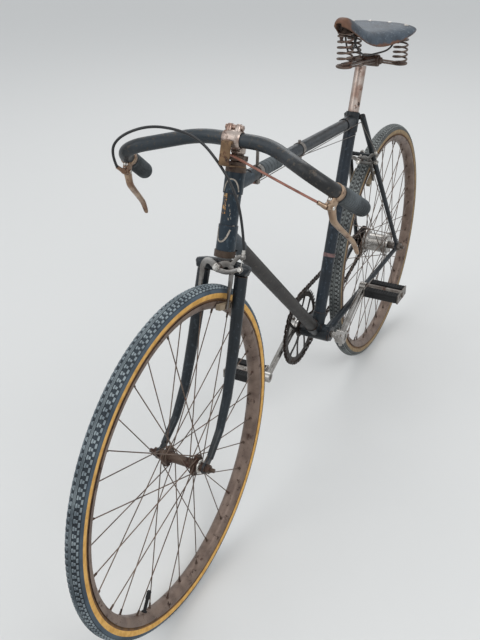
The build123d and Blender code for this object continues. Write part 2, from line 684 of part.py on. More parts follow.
def spokes(centre, count, flange_y, flange_r):
    # each spoke leaves its flange at a slant and meets the rim's inner face
    rim_r = RIM_EDGE_R - RIM_DEPTH - 0.6
    beside_flange = 3.9
    pieces = []
    for i in range(count):
        side = 1 if i % 2 else -1
        lean = (1 if (i // 2) % 2 else -1) * 5 * 2 * pi / count * 1.6
        rim_angle = 2 * pi * (i + 0.5) / count
        hub_angle = rim_angle + lean
        outside = beside_flange if (i // 2) % 2 else -beside_flange
        start = Vector(flange_r * cos(hub_angle), side * flange_y + outside * side, flange_r * sin(hub_angle))
        end = Vector(rim_r * cos(rim_angle), side * 3.0, rim_r * sin(rim_angle))
        reach = (end - start).normalized()
        pieces.append(rod(centre + start, centre + start + reach * ((end - start).length - 0.4), SPOKE_R))
    return pieces


def front_hub():
    points = [(6.0, -36), (11.0, -36), (11.0, -31.5), (20, -31), (20, -28), (10, -26), (9, -10),
              (9, 10), (10, 26), (20, 28), (20, 31), (11.0, 31.5), (11.0, 36), (6.0, 36)]
    return revolved(points, FRONT_AXLE)


def rear_hub():
    points = [(7.0, -36), (22, -36), (22, -31.5), (34, -31), (34, -28), (27, -27), (25, -20), (25, 18),
              (28, 27), (34, 28), (34, 31), (24, 31.5), (22, 36), (7.0, 36)]
    return revolved(points, REAR_AXLE)


def front_axle():
    half = FRONT_HALF_WIDTH
    reach = Vector(0, half + DROPOUT_THICK + FRONT_NUT_THICK + AXLE_END, 0)
    axle = rod(FRONT_AXLE - reach, FRONT_AXLE + reach, FRONT_AXLE_R)
    for side in (1, -1):
        cone_at = FRONT_AXLE + Vector(0, side * (36 + RUNNING_GAP), 0)
        axle += rod(cone_at, FRONT_AXLE + Vector(0, side * half, 0), 8.5)
        axle += nut_at(FRONT_AXLE + Vector(0, side * (half + DROPOUT_THICK), 0), side, 8.5, FRONT_NUT_THICK)
    return axle


def rear_axle():
    half = REAR_HALF_WIDTH
    reach = Vector(0, half + DROPOUT_THICK + REAR_NUT_THICK + AXLE_END, 0)
    axle = rod(REAR_AXLE - reach, REAR_AXLE + reach, REAR_AXLE_R)
    left_cone = REAR_AXLE + Vector(0, 36 + RUNNING_GAP, 0)
    axle += rod(left_cone, REAR_AXLE + Vector(0, half, 0), 10)
    right_cone = REAR_AXLE - Vector(0, CHAIN_LINE + TOOTH_THICK / 2 + SIDE_GAP, 0)
    axle += rod(right_cone, REAR_AXLE - Vector(0, half, 0), 10)
    for side in (1, -1):
        axle += nut_at(REAR_AXLE + Vector(0, side * (half + DROPOUT_THICK), 0), side, 10.5, REAR_NUT_THICK)
    return axle


def nut_at(face_centre, side, radius, height):
    plane = Plane(origin=face_centre, x_dir=(1, 0, 0), z_dir=(0, side, 0))
    return extrude(plane * RegularPolygon(radius, 6), height)


# Chainset
def toothed(pitch_r, teeth, thick, hole):
    root = pitch_r - 3.6
    tip = pitch_r + 3.2
    points = []
    for i in range(teeth):
        for share, radius in ((-0.30, root), (-0.09, tip), (0.09, tip), (0.30, root)):
            angle = 2 * pi * (i + share) / teeth
            points.append((radius * cos(angle), radius * sin(angle)))
    plane = Plane(origin=(0, -thick / 2, 0), x_dir=(1, 0, 0), z_dir=(0, 1, 0))
    blank = extrude(plane * make_face(Polyline(*points, close=True)), thick)
    return blank - rod((0, -9, 0), (0, 9, 0), hole)


RING_INNER_R = 78.0
RING_BOSS_R = 26.0
RING_ARMS = 5


def chainring():
    ring = toothed(RING_PITCH_R, RING_TEETH, TOOTH_THICK, RING_INNER_R)
    ring += disc((0, 0, 0), (0, 1, 0), RING_BOSS_R, TOOTH_THICK)
    for i in range(RING_ARMS):
        angle = 360.0 / RING_ARMS * i + CRANK_ANGLE
        for spread in (-11, 11):
            arm = Pos((RING_BOSS_R + RING_INNER_R) / 2, 0, 0) * Box(RING_INNER_R - RING_BOSS_R + 6, TOOTH_THICK, 6)
            tilt = Rot(0, spread * 0.55, 0) * arm
            ring += Rot(0, angle + spread, 0) * tilt
    ring = ring - rod((0, -9, 0), (0, 9, 0), SPINDLE_R + BRAZE_GAP)
    return Pos(0, -CHAIN_LINE, BB_HEIGHT) * ring


def crank_direction(side):
    angle = radians(CRANK_ANGLE if side > 0 else CRANK_ANGLE + 180)
    return Vector(cos(angle), 0, sin(angle))


def crank(side):
    along_dir = crank_direction(side)
    eye = BB + along_dir * CRANK_LENGTH
    boss_mid = CRANK_INNER + CRANK_BOSS_THICK / 2
    eye_mid = CRANK_INNER + CRANK_EYE_THICK / 2
    body = disc(BB + Vector(0, side * boss_mid, 0), (0, 1, 0), 17, CRANK_BOSS_THICK)
    body += disc(eye + Vector(0, side * eye_mid, 0), (0, 1, 0), 12.5, CRANK_EYE_THICK)
    body += rod(BB + Vector(0, side * eye_mid, 0) + along_dir * 4, eye + Vector(0, side * eye_mid, 0), 7.9, 7.2)
    cotter_at = BB + Vector(0, side * boss_mid, 0) + along_dir.cross(Vector(0, 1, 0)) * 0
    across = along_dir.cross(Vector(0, 1, 0)).normalized()
    cotter_line = cotter_at - along_dir * (SPINDLE_R + 2)
    body += rod(cotter_line - across * 24, cotter_line + across * 22, 4.5)
    body = body - rod(BB + Vector(0, side * 30, 0), BB + Vector(0, side * 90, 0), SPINDLE_R + BRAZE_GAP)
    bore = rod(eye + Vector(0, side * 40, 0), eye + Vector(0, side * 90, 0), PEDAL_AXLE_R + RUNNING_GAP)
    return body - bore


PEDAL_AXLE_R = 6.0


def crank_spindle():
    half = CRANK_INNER + CRANK_BOSS_THICK - 1
    spindle = rod(BB - Vector(0, half, 0), BB + Vector(0, half, 0), SPINDLE_R)
    spacer = rod(BB - Vector(0, CRANK_INNER, 0), BB - Vector(0, CHAIN_LINE + TOOTH_THICK / 2, 0), 15)
    return spindle + (spacer)


def pedal(side):
    eye = BB + crank_direction(side) * CRANK_LENGTH
    inner_y = CRANK_INNER + CRANK_EYE_THICK + PEDAL_GAP
    outer_y = inner_y + PEDAL_LENGTH
    frame = rod(eye + Vector(0, side * (CRANK_INNER + 1), 0), eye + Vector(0, side * (outer_y + 4), 0), PEDAL_AXLE_R)
    frame += rod(eye + Vector(0, side * (inner_y + 4), 0), eye + Vector(0, side * outer_y, 0), 11)
    plates = ((inner_y + 2, 3.0), (outer_y - 3, 3.0))
    for y, thick in plates:
        centre = eye + Vector(0, side * (y + 2), 0)
        frame += bar_block(centre, (1, 0, 0), (0, 0, 1), PEDAL_TREAD_SPACING + 20, thick, 22)
    rubbers = []
    length = outer_y - inner_y - 7
    mid_y = (inner_y + outer_y) / 2 + 1.5
    for offset in (-1, 1):
        at = eye + Vector(offset * PEDAL_TREAD_SPACING / 2, side * mid_y, 0)
        rubbers.append(bar_block(at, (1, 0, 0), (0, 0, 1), 19, length, 24))
    frame_cut = frame
    for rubber in rubbers:
        frame_cut = frame_cut - rubber
    frame_piece = max(frame_cut.solids(), key=lambda s: s.volume)
    return frame_piece, rubbers


def sprocket():
    # the toothed ring and the driver that carries it on the axle, beside the hub shell
    wheel = toothed(SPROCKET_PITCH_R, SPROCKET_TEETH, TOOTH_THICK, REAR_AXLE_R + RUNNING_GAP)
    wheel += rod((0, 0, 0), (0, CHAIN_LINE - REAR_HUB_END - SIDE_GAP, 0), DRIVER_R)
    wheel = wheel - rod((0, -9, 0), (0, 19, 0), REAR_AXLE_R + RUNNING_GAP)
    return Pos(-REAR_REACH, -CHAIN_LINE, TYRE_R) * wheel


REAR_HUB_END = 36.0
DRIVER_R = 17.0
PLATE_GAP = 3.2
PLATE_THICK = 1.4
PLATE_HEIGHT = 8.4


def belt_face(grow):
    # the outline that wraps both wheels' pitch circles, grown by grow
    big = RING_PITCH_R + grow
    small = SPROCKET_PITCH_R + grow
    line = REAR_AXLE - BB
    distance = hypot(line.X, line.Z)
    tilt = atan2(line.Z, line.X)
    spread = (pi / 2) - atan((big - small) / sqrt(distance ** 2 - (big - small) ** 2))
    ring_points = []
    for sign in (1, -1):
        angle = tilt + sign * spread
        ring_points.append((Vector(big * cos(angle), big * sin(angle)),
                            Vector(line.X + small * cos(angle), line.Z + small * sin(angle))))
    (top_big, top_small), (low_big, low_small) = ring_points
    back = tilt + pi
    far = Vector(big * cos(back), big * sin(back))
    rear = Vector(line.X + small * cos(tilt), line.Z + small * sin(tilt))
    edges = [Line(top_big, top_small), ThreePointArc(top_small, rear, low_small),
             Line(low_small, low_big), ThreePointArc(low_big, far, top_big)]
    return make_face(Curve() + edges)


def chain():
    plates = []
    half = PLATE_HEIGHT / 2
    outline = belt_face(half) - belt_face(-half)
    for sign in (1, -1):
        near = CHAIN_LINE + sign * (PLATE_GAP / 2 + PLATE_THICK / 2) - PLATE_THICK / 2
        plane = Plane(origin=(0, -near, BB_HEIGHT), x_dir=(1, 0, 0), z_dir=(0, -1, 0))
        plates.append(extrude(plane * outline, PLATE_THICK))
    band = plates[0] + plates[1]
    for place in roller_places():
        band += rod(place - Vector(0, PLATE_GAP / 2 + 0.5, 0), place + Vector(0, PLATE_GAP / 2 + 0.5, 0), 2.2)
    return band


ROLLER_FREE = 40.0


def roller_places():
    line = REAR_AXLE - BB
    distance = hypot(line.X, line.Z)
    tilt = atan2(line.Z, line.X)
    drop = RING_PITCH_R - SPROCKET_PITCH_R
    run = sqrt(distance ** 2 - drop ** 2)
    spread = (pi / 2) - atan(drop / run)
    places = []
    for sign in (1, -1):
        angle = tilt + sign * spread
        start = BB + Vector(RING_PITCH_R * cos(angle), -CHAIN_LINE, RING_PITCH_R * sin(angle))
        end = REAR_AXLE + Vector(SPROCKET_PITCH_R * cos(angle), -CHAIN_LINE, SPROCKET_PITCH_R * sin(angle))
        steps = int((run - 2 * ROLLER_FREE) / CHAIN_PITCH)
        for i in range(steps + 1):
            places.append(along(start, end, ROLLER_FREE + i * CHAIN_PITCH))
    return places


# Saddle
CLAMP_UP = 10.0
SPRING_R = 16.0
SPRING_WIRE_R = 2.2
FRONT_SPRING = (-99.0, 0.0, 893.0, 60.0, 5)
REAR_SPRINGS = (-318.0, 58.0, 862.0, 44.0, 4)


def seat_post():
    top = SEAT_LUG_TOP + SEAT_DIR * ((SEAT_POST_TOP_Z - SEAT_LUG_TOP.Z) / SEAT_DIR.Z)
    return rod(SEAT_LUG_TOP - SEAT_DIR * 70, top, SEAT_POST_R)


def post_top():
    return SEAT_LUG_TOP + SEAT_DIR * ((SEAT_POST_TOP_Z - SEAT_LUG_TOP.Z) / SEAT_DIR.Z)


def coil(x, y, z, height, turns):
    # one upright wire coil; its ends stop short of the plates that hold it
    wire = Helix(pitch=height / turns, height=height, radius=SPRING_R, center=(x, y, z))
    section = Plane(origin=wire @ 0, z_dir=wire % 0) * Circle(SPRING_WIRE_R)
    return sweep(section, path=wire, is_frenet=True)


def saddle_springs():
    x, y, z, height, turns = REAR_SPRINGS
    return coil(*FRONT_SPRING), coil(x, y, z, height, turns), coil(x, -y, z, height, turns)


def saddle_frame():
    top = post_top()
    fx, _, fz, fh, _ = FRONT_SPRING
    rx, ry, rz, rh, _ = REAR_SPRINGS
    low = -SPRING_WIRE_R - 2.0
    frame = rod(top - Vector(0, 21, 0), top + Vector(0, 21, 0), 14)
    frame += disc((fx, 0, fz + low - 2), (0, 0, 1), 19, 7)
    for side in (1, -1):
        frame += rod(top + Vector(0, side * 16, 0), (fx - 8, side * 9, fz + low - 2), 3.0)
        frame += rod(top + Vector(0, side * 16, 0), (rx + 6, side * ry, rz + low - 2), 3.0)
        frame += disc((rx, side * ry, rz + low - 2), (0, 0, 1), 19, 7)
    frame = frame - rod(SEAT_LUG_TOP, top + SEAT_DIR * 4, SEAT_POST_R + BRAZE_GAP)
    tops = []
    cover = leather_space(SIDE_GAP)
    for x, y, z, post_r in ((fx, 0, fz + fh, 12), (rx, ry, rz + rh, 9), (rx, -ry, rz + rh, 9)):
        face_z = z + SPRING_WIRE_R + SIDE_GAP
        plate = rod((x, y, face_z), (x, y, face_z + 3), 18)
        plate += rod((x, y, face_z), (x, y, face_z + 60), post_r)
        tops.append(plate - cover)
    return frame, [max(plate.solids(), key=lambda s: s.volume) for plate in tops]


# Leather sections: x, edge half width, crown height, edge height
LEATHER = (
    (-58.0, 16.0, 986.0, 976.0),
    (-95.0, 22.0, 984.0, 962.0),
    (-150.0, 34.0, 958.0, 928.0),
    (-215.0, 62.0, 945.0, 912.0),
    (-280.0, 92.0, 944.0, 922.0),
    (-335.0, 96.0, 944.0, 932.0),
)
LEATHER_THICK = 5.0


def leather_space(gap):
    # everything from a little under the leather upwards
    sections = []
    front, back = LEATHER[0], LEATHER[-1]
    for x, half, crown, edge in ((front[0] + 30, *front[1:]), *LEATHER, (back[0] - 40, *back[1:])):
        low = ThreePointArc((-half, edge - 1 - gap - 4), (0, crown - LEATHER_THICK - gap - 1.5), (half, edge - 1 - gap - 4))
        sides = Polyline((half, edge - 1 - gap - 4), (half, 1100), (-half, 1100), (-half, edge - 1 - gap - 4))
        face = make_face(Curve() + [low, sides])
        sections.append(Plane(origin=(x, 0, 0), x_dir=(0, 1, 0), z_dir=(1, 0, 0)) * face)
    return loft(sections, ruled=True)


def saddle_leather():
    sections = []
    for x, half, crown, edge in LEATHER:
        outer = ThreePointArc((-half, edge), (0, crown), (half, edge))
        inner = ThreePointArc((half - LEATHER_THICK, edge - 1), (0, crown - LEATHER_THICK), (-half + LEATHER_THICK, edge - 1))
        ends = [Line(outer @ 1, inner @ 0), Line(inner @ 1, outer @ 0)]
        face = make_face(Curve() + [outer, inner] + ends)
        sections.append(Plane(origin=(x, 0, 0), x_dir=(0, 1, 0), z_dir=(1, 0, 0)) * face)
    return loft(sections, ruled=True)


def main():
    os.makedirs("parts", exist_ok=True)
    save("head_tube", head_tube())
    save("head_lugs", head_lugs())
    save("top_tube", top_tube())
    save("down_tube", down_tube())
    save("seat_tube", seat_tube())
    save("seat_lug", SEAT_LUG_PIECE)
    save("bottom_bracket_shell", bottom_bracket_shell())
    for side, word in ((1, "left"), (-1, "right")):
        save(f"chain_stay_{word}", chain_stay(side))
        save(f"seat_stay_{word}", seat_stay(side))
        save(f"fork_blade_{word}", fork_blade(side))
        save(f"grip_{word}", grip(side))
        save(f"brake_lever_{word}", brake_lever(side))
        save(f"crank_{word}", crank(side))
        frame_piece, rubbers = pedal(side)
        save(f"pedal_frame_{word}", frame_piece)
        save(f"pedal_rubbers_{word}", rubbers)
    save("stay_bridge", stay_bridge())
    save("headset_cups", headset_cups())
    save("headset_nuts", headset_nuts())
    save("lamp_bracket", lamp_bracket())
    save("fork_crown", fork_crown())
    save("stem", stem())
    save("handlebar", handlebar())
    for word, (arms, bolt, shoes) in (("front", front_brake()), ("rear", rear_brake())):
        save(f"{word}_brake_caliper", arms, bolt)
        save(f"{word}_brake_shoes", shoes)
    save("front_brake_cable", routed(FRONT_CABLE, CABLE_R, "front cable"))
    save("rear_brake_cable", routed(REAR_CABLE, REAR_HOUSING_R, "rear cable"))
    save("cable_clips", cable_clips())
    save("rear_brake_wires", rear_brake_wires())
    save("front_axle", front_axle())
    save("rear_axle", rear_axle())
    for word, centre, hub, count, flange_y, flange_r in (
        ("front", FRONT_AXLE, front_hub(), FRONT_SPOKES, 29.5, 17.5),
        ("rear", REAR_AXLE, rear_hub(), REAR_SPOKES, 29.5, 31.0),
    ):
        save(f"{word}_tyre", tyre(centre))
        save(f"{word}_rim", rim(centre))
        save(f"{word}_hub", hub)
        save(f"{word}_spokes", spokes(centre, count, flange_y, flange_r))
    save("chainring", chainring())
    save("crank_spindle", crank_spindle())
    save("sprocket", sprocket())
    save("chain", chain())
    save("seat_post", seat_post())
    save("saddle_frame", saddle_frame())
    save("saddle_springs", saddle_springs())
    save("saddle_leather", saddle_leather())


main()
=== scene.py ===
import json
from math import asin, atan2, cos, pi, radians, sin, sqrt, tau

import bmesh
import bpy
from mathutils import Matrix, Vector


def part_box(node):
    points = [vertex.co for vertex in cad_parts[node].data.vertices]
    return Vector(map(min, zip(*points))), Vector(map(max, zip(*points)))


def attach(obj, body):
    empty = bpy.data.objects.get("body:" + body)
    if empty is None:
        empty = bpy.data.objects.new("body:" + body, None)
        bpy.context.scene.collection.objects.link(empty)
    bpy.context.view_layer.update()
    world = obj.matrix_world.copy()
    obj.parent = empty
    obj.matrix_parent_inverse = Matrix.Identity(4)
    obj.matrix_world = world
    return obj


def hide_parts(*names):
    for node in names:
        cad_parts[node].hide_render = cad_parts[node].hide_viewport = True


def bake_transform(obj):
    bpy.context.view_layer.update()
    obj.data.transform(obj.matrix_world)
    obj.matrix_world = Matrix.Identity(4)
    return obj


# The looks of a worn light racing bicycle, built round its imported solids. Points are in metres, in the frame
# of the solids: X forward, Y to the rider's left, Z up, with the origin on top of the saddle. Sizes are in
# millimetres, except those written as a number times MILLIMETRE, which are in metres.

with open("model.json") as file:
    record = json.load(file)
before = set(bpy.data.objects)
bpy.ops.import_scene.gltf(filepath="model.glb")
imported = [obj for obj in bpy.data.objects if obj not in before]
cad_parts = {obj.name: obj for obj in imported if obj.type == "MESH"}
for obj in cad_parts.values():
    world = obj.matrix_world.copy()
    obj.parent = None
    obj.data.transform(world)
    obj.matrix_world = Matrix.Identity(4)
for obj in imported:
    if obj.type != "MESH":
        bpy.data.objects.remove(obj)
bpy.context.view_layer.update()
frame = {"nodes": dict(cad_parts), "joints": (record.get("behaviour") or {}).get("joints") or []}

MILLIMETRE = 0.001
LEFT = Vector((0, 1, 0))
UP = Vector((0, 0, 1))


def centre_of(node):
    low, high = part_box(node)
    return (low + high) / 2


def extent_of(node):
    low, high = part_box(node)
    return high - low


# Places taken from the frame
FRONT_AXLE = centre_of("front_axle")
REAR_AXLE = centre_of("rear_axle")
CRANK_AXLE = centre_of("crank_spindle")
GROUND_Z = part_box("front_tyre")[0].z
TYRE_R = FRONT_AXLE.z - GROUND_Z
TYRE_HALF = extent_of("front_tyre").y / 2
RIM_R = extent_of("front_rim").z / 2
RIM_HALF = extent_of("front_rim").y / 2
STEERING = next(joint for joint in frame["joints"] if joint["name"] == "steering_turn")
STEER_UP = Vector(STEERING["axis"]).normalized()
STEER_FOOT = Vector(STEERING["pos_m"])
STEER_AHEAD = LEFT.cross(STEER_UP)

# Other places are given as in the drawing of the solids, which starts on the ground below the crank axle
DRAWING_ORIGIN = Vector((-235.0, 0.0, 944.0))


def placed(route):
    return [(Vector(point) - DRAWING_ORIGIN) * MILLIMETRE for point in route]


def point_at(x, y, z):
    return placed([(x, y, z)])[0]


def steer(up, ahead=0.0, left=0.0):
    """A point by its millimetres up the steering axis, ahead of it and to its left."""
    return STEER_FOOT + (STEER_UP * up + STEER_AHEAD * ahead + LEFT * left) * MILLIMETRE


def on_circle(radius, angle, y=0.0):
    return Vector((radius * cos(angle), y, radius * sin(angle)))


def shown(name, data):
    """Makes an object with this data and puts it in the scene."""
    made = bpy.data.objects.new(name, data)
    bpy.context.scene.collection.objects.link(made)
    return made


# Camera, as measured from the photograph
CAMERA_PLACE = Vector((1.8874, 0.6477, 0.3557))
CAMERA_AZIMUTH = radians(207.51)
CAMERA_ELEVATION = radians(-29.53)
CAMERA_ROLL = radians(-0.61)
FOCAL_PIXELS = 827.8
LONG_SIDE_PIXELS = 640
SENSOR_WIDTH = 36.0


def make_camera():
    forward = Vector((cos(CAMERA_AZIMUTH) * cos(CAMERA_ELEVATION),
                      sin(CAMERA_AZIMUTH) * cos(CAMERA_ELEVATION), sin(CAMERA_ELEVATION)))
    level = forward.cross(UP).normalized()
    upright = level.cross(forward)
    right = level * cos(CAMERA_ROLL) + upright * sin(CAMERA_ROLL)
    up = upright * cos(CAMERA_ROLL) - level * sin(CAMERA_ROLL)
    camera = shown("camera", bpy.data.cameras.new("camera"))
    camera.data.lens = FOCAL_PIXELS * SENSOR_WIDTH / LONG_SIDE_PIXELS
    camera.data.sensor_width = SENSOR_WIDTH
    turn = Matrix((right, up, -forward)).transposed().to_4x4()
    camera.matrix_world = Matrix.Translation(CAMERA_PLACE) @ turn
    bpy.context.scene.camera = camera


# Colours are written as they look on a screen and turned into light here
def colour(text):
    parts = [int(text[i:i + 2], 16) / 255 for i in (0, 2, 4)]
    linear = [((part + 0.055) / 1.055) ** 2.4 if part > 0.04045 else part / 12.92 for part in parts]
    return (*linear, 1.0)


class Finish:
    """One material, put together from noise, masks and bumps in the frame's own coordinates."""

    def __init__(self, name, metallic=0.0, roughness=0.5, coat=0.0, specular=0.5):
        self.material = bpy.data.materials.new(name)
        self.material.use_nodes = True
        self.tree = self.material.node_tree
        self.shader = self.tree.nodes["Principled BSDF"]
        for socket, value in (("Metallic", metallic), ("Roughness", roughness), ("Coat Weight", coat),
                              ("Coat Roughness", 0.25), ("Specular IOR Level", specular)):
            self.shader.inputs[socket].default_value = value
        self.place = self.node("ShaderNodeTexCoord").outputs["Object"]
        self.height = None

    def node(self, kind, **settings):
        made = self.tree.nodes.new(kind)
        for key, value in settings.items():
            setattr(made, key, value)
        return made

    def put(self, socket, value):
        if isinstance(value, bpy.types.NodeSocket):
            self.tree.links.new(value, socket)
        elif isinstance(value, str):
            socket.default_value = colour(value)
        else:
            socket.default_value = value

    def noise(self, scale, detail=4.0, roughness=0.55):
        made = self.node("ShaderNodeTexNoise")
        self.put(made.inputs["Vector"], self.place)
        self.put(made.inputs["Scale"], scale)
        self.put(made.inputs["Detail"], detail)
        self.put(made.inputs["Roughness"], roughness)
        return made.outputs["Fac"]

    def cells(self, scale):
        made = self.node("ShaderNodeTexVoronoi")
        self.put(made.inputs["Vector"], self.place)
        self.put(made.inputs["Scale"], scale)
        return made.outputs["Distance"]

    def band(self, value, low, high):
        """0 below low, 1 above high; the other way round where low is the larger."""
        made = self.node("ShaderNodeMapRange", interpolation_type="SMOOTHSTEP")
        self.put(made.inputs["Value"], value)
        flipped = low > high
        self.put(made.inputs["From Min"], min(low, high))
        self.put(made.inputs["From Max"], max(low, high))
        self.put(made.inputs["To Min"], 1.0 if flipped else 0.0)
        self.put(made.inputs["To Max"], 0.0 if flipped else 1.0)
        return made.outputs["Result"]

    def patches(self, scale, low, high, detail=4.0, roughness=0.55):
        """Noise with about scale features to the metre, cut off below low and above high."""
        return self.band(self.noise(scale, detail, roughness), low, high)

    def maths(self, operation, first, second):
        made = self.node("ShaderNodeMath", operation=operation)
        self.put(made.inputs[0], first)
        self.put(made.inputs[1], second)
        return made.outputs[0]

    def plus(self, first, second):
        return self.maths("ADD", first, second)

    def minus(self, first, second):
        return self.maths("SUBTRACT", first, second)

    def times(self, first, second):
        return self.maths("MULTIPLY", first, second)

    def capped(self, value):
        return self.maths("MINIMUM", value, 1.0)

    def blend(self, share, first, second):
        made = self.node("ShaderNodeMix", data_type="RGBA")
        self.put(made.inputs["Factor"], share)
        self.put(made.inputs[6], first)
        self.put(made.inputs[7], second)
        return made.outputs[2]

    def axis(self, which):
        made = self.node("ShaderNodeSeparateXYZ")
        self.put(made.inputs[0], self.place)
        return made.outputs[which]

    def edges(self, reach, low=0.02, high=0.2):
        """1 along sharp edges, where paint and plating wear off first."""
        rounded = self.node("ShaderNodeBevel", samples=4)
        self.put(rounded.inputs["Radius"], reach)
        flat = self.node("ShaderNodeNewGeometry").outputs["Normal"]
        dot = self.node("ShaderNodeVectorMath", operation="DOT_PRODUCT")
        self.put(dot.inputs[0], rounded.outputs["Normal"])
        self.put(dot.inputs[1], flat)
        return self.band(self.minus(1.0, dot.outputs["Value"]), low, high)

    def hollows(self, reach):
        """1 in corners, from ambient occlusion: painted shade in paint and rubber, and where rust gathers in
        steel.
        """
        made = self.node("ShaderNodeAmbientOcclusion", samples=4, only_local=False)
        self.put(made.inputs["Distance"], reach)
        return self.band(made.outputs["AO"], 0.85, 0.35)

    def upward(self):
        """1 on faces that look up, where dust settles."""
        parts = self.node("ShaderNodeSeparateXYZ")
        self.put(parts.inputs[0], self.node("ShaderNodeNewGeometry").outputs["Normal"])
        return self.band(parts.outputs[2], 0.3, 0.95)

    def bump(self, height, depth, strength=1.0):
        made = self.node("ShaderNodeBump")
        self.put(made.inputs["Strength"], strength)
        self.put(made.inputs["Distance"], depth)
        self.put(made.inputs["Height"], height)
        if self.height is not None:
            self.put(made.inputs["Normal"], self.height)
        self.height = made.outputs["Normal"]
        self.put(self.shader.inputs["Normal"], self.height)

    def skin(self, base, roughness=None, metallic=None):
        self.put(self.shader.inputs["Base Color"], base)
        if roughness is not None:
            self.put(self.shader.inputs["Roughness"], roughness)
        if metallic is not None:
            self.put(self.shader.inputs["Metallic"], metallic)
        return self.material


# Materials
def enamel(name, paint, sheen_paint, worn, dust, chip_share=0.30, roughness=0.32):
    """Mottled paint with a painted sheen, chipped to rusty steel, dusty on top, with painted shade in its
    corners.
    """
    made = Finish(name, coat=0.1, specular=0.28)
    # painted sheen: the lighter sheen_paint colour, spread in patches, stands for highlights on the enamel
    sheen_mottled = made.blend(made.patches(9.0, 0.35, 0.68, detail=5.0), paint, sheen_paint)
    fine = made.blend(made.patches(150.0, 0.55, 0.7, detail=3.0), sheen_mottled, worn)
    sound = made.patches(75.0, 0.70, 0.64, detail=6.0, roughness=0.72)
    chips = made.times(made.minus(1.0, sound), made.patches(11.0, 0.48, 0.62, detail=3.0))
    rubbed = made.times(made.edges(1.6 * MILLIMETRE), made.patches(60.0, 0.42, 0.6, roughness=0.7))
    bare = made.capped(made.plus(chips, rubbed))
    rust = made.blend(made.patches(240.0, 0.4, 0.62, detail=3.0), "3a2419", "7a5238")
    body = made.blend(bare, made.blend(chip_share * 0.3, fine, worn), rust)
    dusty = made.times(made.upward(), made.patches(26.0, 0.42, 0.72, detail=5.0, roughness=0.65))
    grime = made.blend(made.times(dusty, dust), body, "7d7a74")
    # painted shade: corners darkened towards 17130f by ambient occlusion
    corner_shade_painted = made.blend(made.times(made.hollows(12.0 * MILLIMETRE), 0.55), grime, "17130f")
    rough = made.plus(made.times(made.noise(38.0), 0.28), roughness - 0.08)
    made.bump(made.noise(320.0, detail=2.0), 0.12 * MILLIMETRE)
    made.bump(made.minus(1.0, bare), 0.22 * MILLIMETRE)
    return made.skin(corner_shade_painted, made.plus(rough, made.times(bare, 0.3)))


def steel(name, plate, tarnish, rust, rust_share=0.5, roughness=0.34, metallic=0.85):
    """Plated or bare steel with patches of tarnish and rust."""
    made = Finish(name)
    cloudy = made.blend(made.patches(30.0, 0.36, 0.66, detail=5.0), plate, tarnish)
    patch_low = 0.74 - 0.34 * rust_share
    patches = made.patches(46.0, patch_low, patch_low + 0.09, detail=7.0, roughness=0.68)
    pit_low = 0.66 - 0.1 * rust_share
    pits = made.patches(330.0, pit_low, pit_low + 0.08, roughness=0.7)
    corners = made.hollows(6.0 * MILLIMETRE)
    eaten = made.capped(made.plus(patches, made.plus(pits, corners)))
    deep = made.blend(made.patches(130.0, 0.4, 0.62), rust, "2b1c14")
    body = made.blend(eaten, cloudy, deep)
    made.bump(made.noise(260.0, detail=5.0, roughness=0.65), 0.18 * MILLIMETRE)
    made.bump(eaten, 0.15 * MILLIMETRE)
    rough = made.plus(made.times(eaten, 0.42), roughness)
    metal = made.minus(metallic, made.times(eaten, metallic * 0.8))
    return made.skin(body, rough, metal)


def rubber(name, base, dust, dust_share):
    made = Finish(name, specular=0.3)
    cloud = made.patches(18.0, 0.36, 0.66, detail=6.0, roughness=0.62)
    body = made.blend(made.times(cloud, dust_share), base, dust)
    settled = made.blend(made.times(made.upward(), dust_share * 0.6), body, dust)
    # painted shade: hollows and tread grooves darkened towards 14171a by ambient occlusion
    deep = made.blend(made.times(made.hollows(4.0 * MILLIMETRE), 0.75), settled, "14171a")
    made.bump(made.noise(420.0, detail=3.0), 0.2 * MILLIMETRE)
    return made.skin(deep, 0.78)


def gum_wall(name, bright, deep, stain):
    made = Finish(name, roughness=0.72, specular=0.3)
    body = made.blend(made.patches(70.0, 0.36, 0.68, detail=5.0, roughness=0.6), bright, deep)
    stains = made.patches(34.0, 0.60, 0.72, detail=6.0, roughness=0.7)
    stained = made.blend(made.times(stains, 0.6), body, stain)
    made.bump(made.noise(500.0, detail=3.0), 0.15 * MILLIMETRE)
    return made.skin(stained)


def leather():
    """Leather whose slate-blue top is a painted sky sheen, rubbed brown at its nose and along its lower edge.
    """
    made = Finish("saddle_leather", roughness=0.46, specular=0.32)
    height = made.axis(2)
    # painted sheen: the slate-blue top and its lighter patches stand for sky reflected off the leather
    top = made.blend(made.patches(24.0, 0.35, 0.68, detail=6.0, roughness=0.6), "3d4751", "272e36")
    rubbed = made.blend(made.patches(120.0, 0.54, 0.68, detail=5.0, roughness=0.65), top, "5b646c")
    low_edge = made.times(made.band(height, -0.010, -0.034), 0.8)
    nose = made.band(made.axis(0), 0.120, 0.180)
    edge_share = made.plus(made.edges(6.0 * MILLIMETRE, 0.01, 0.12), made.maths("MAXIMUM", low_edge, nose))
    ragged = made.band(made.plus(edge_share, made.noise(55.0, detail=5.0)), 0.86, 1.14)
    brown = made.blend(made.noise(90.0), "4e3122", "7a543a")
    body = made.blend(made.times(ragged, 0.85), rubbed, brown)
    made.bump(made.cells(420.0), 0.35 * MILLIMETRE, 0.7)
    made.bump(made.noise(85.0), 0.7 * MILLIMETRE, 0.6)
    return made.skin(body, made.plus(made.times(ragged, 0.25), 0.42))


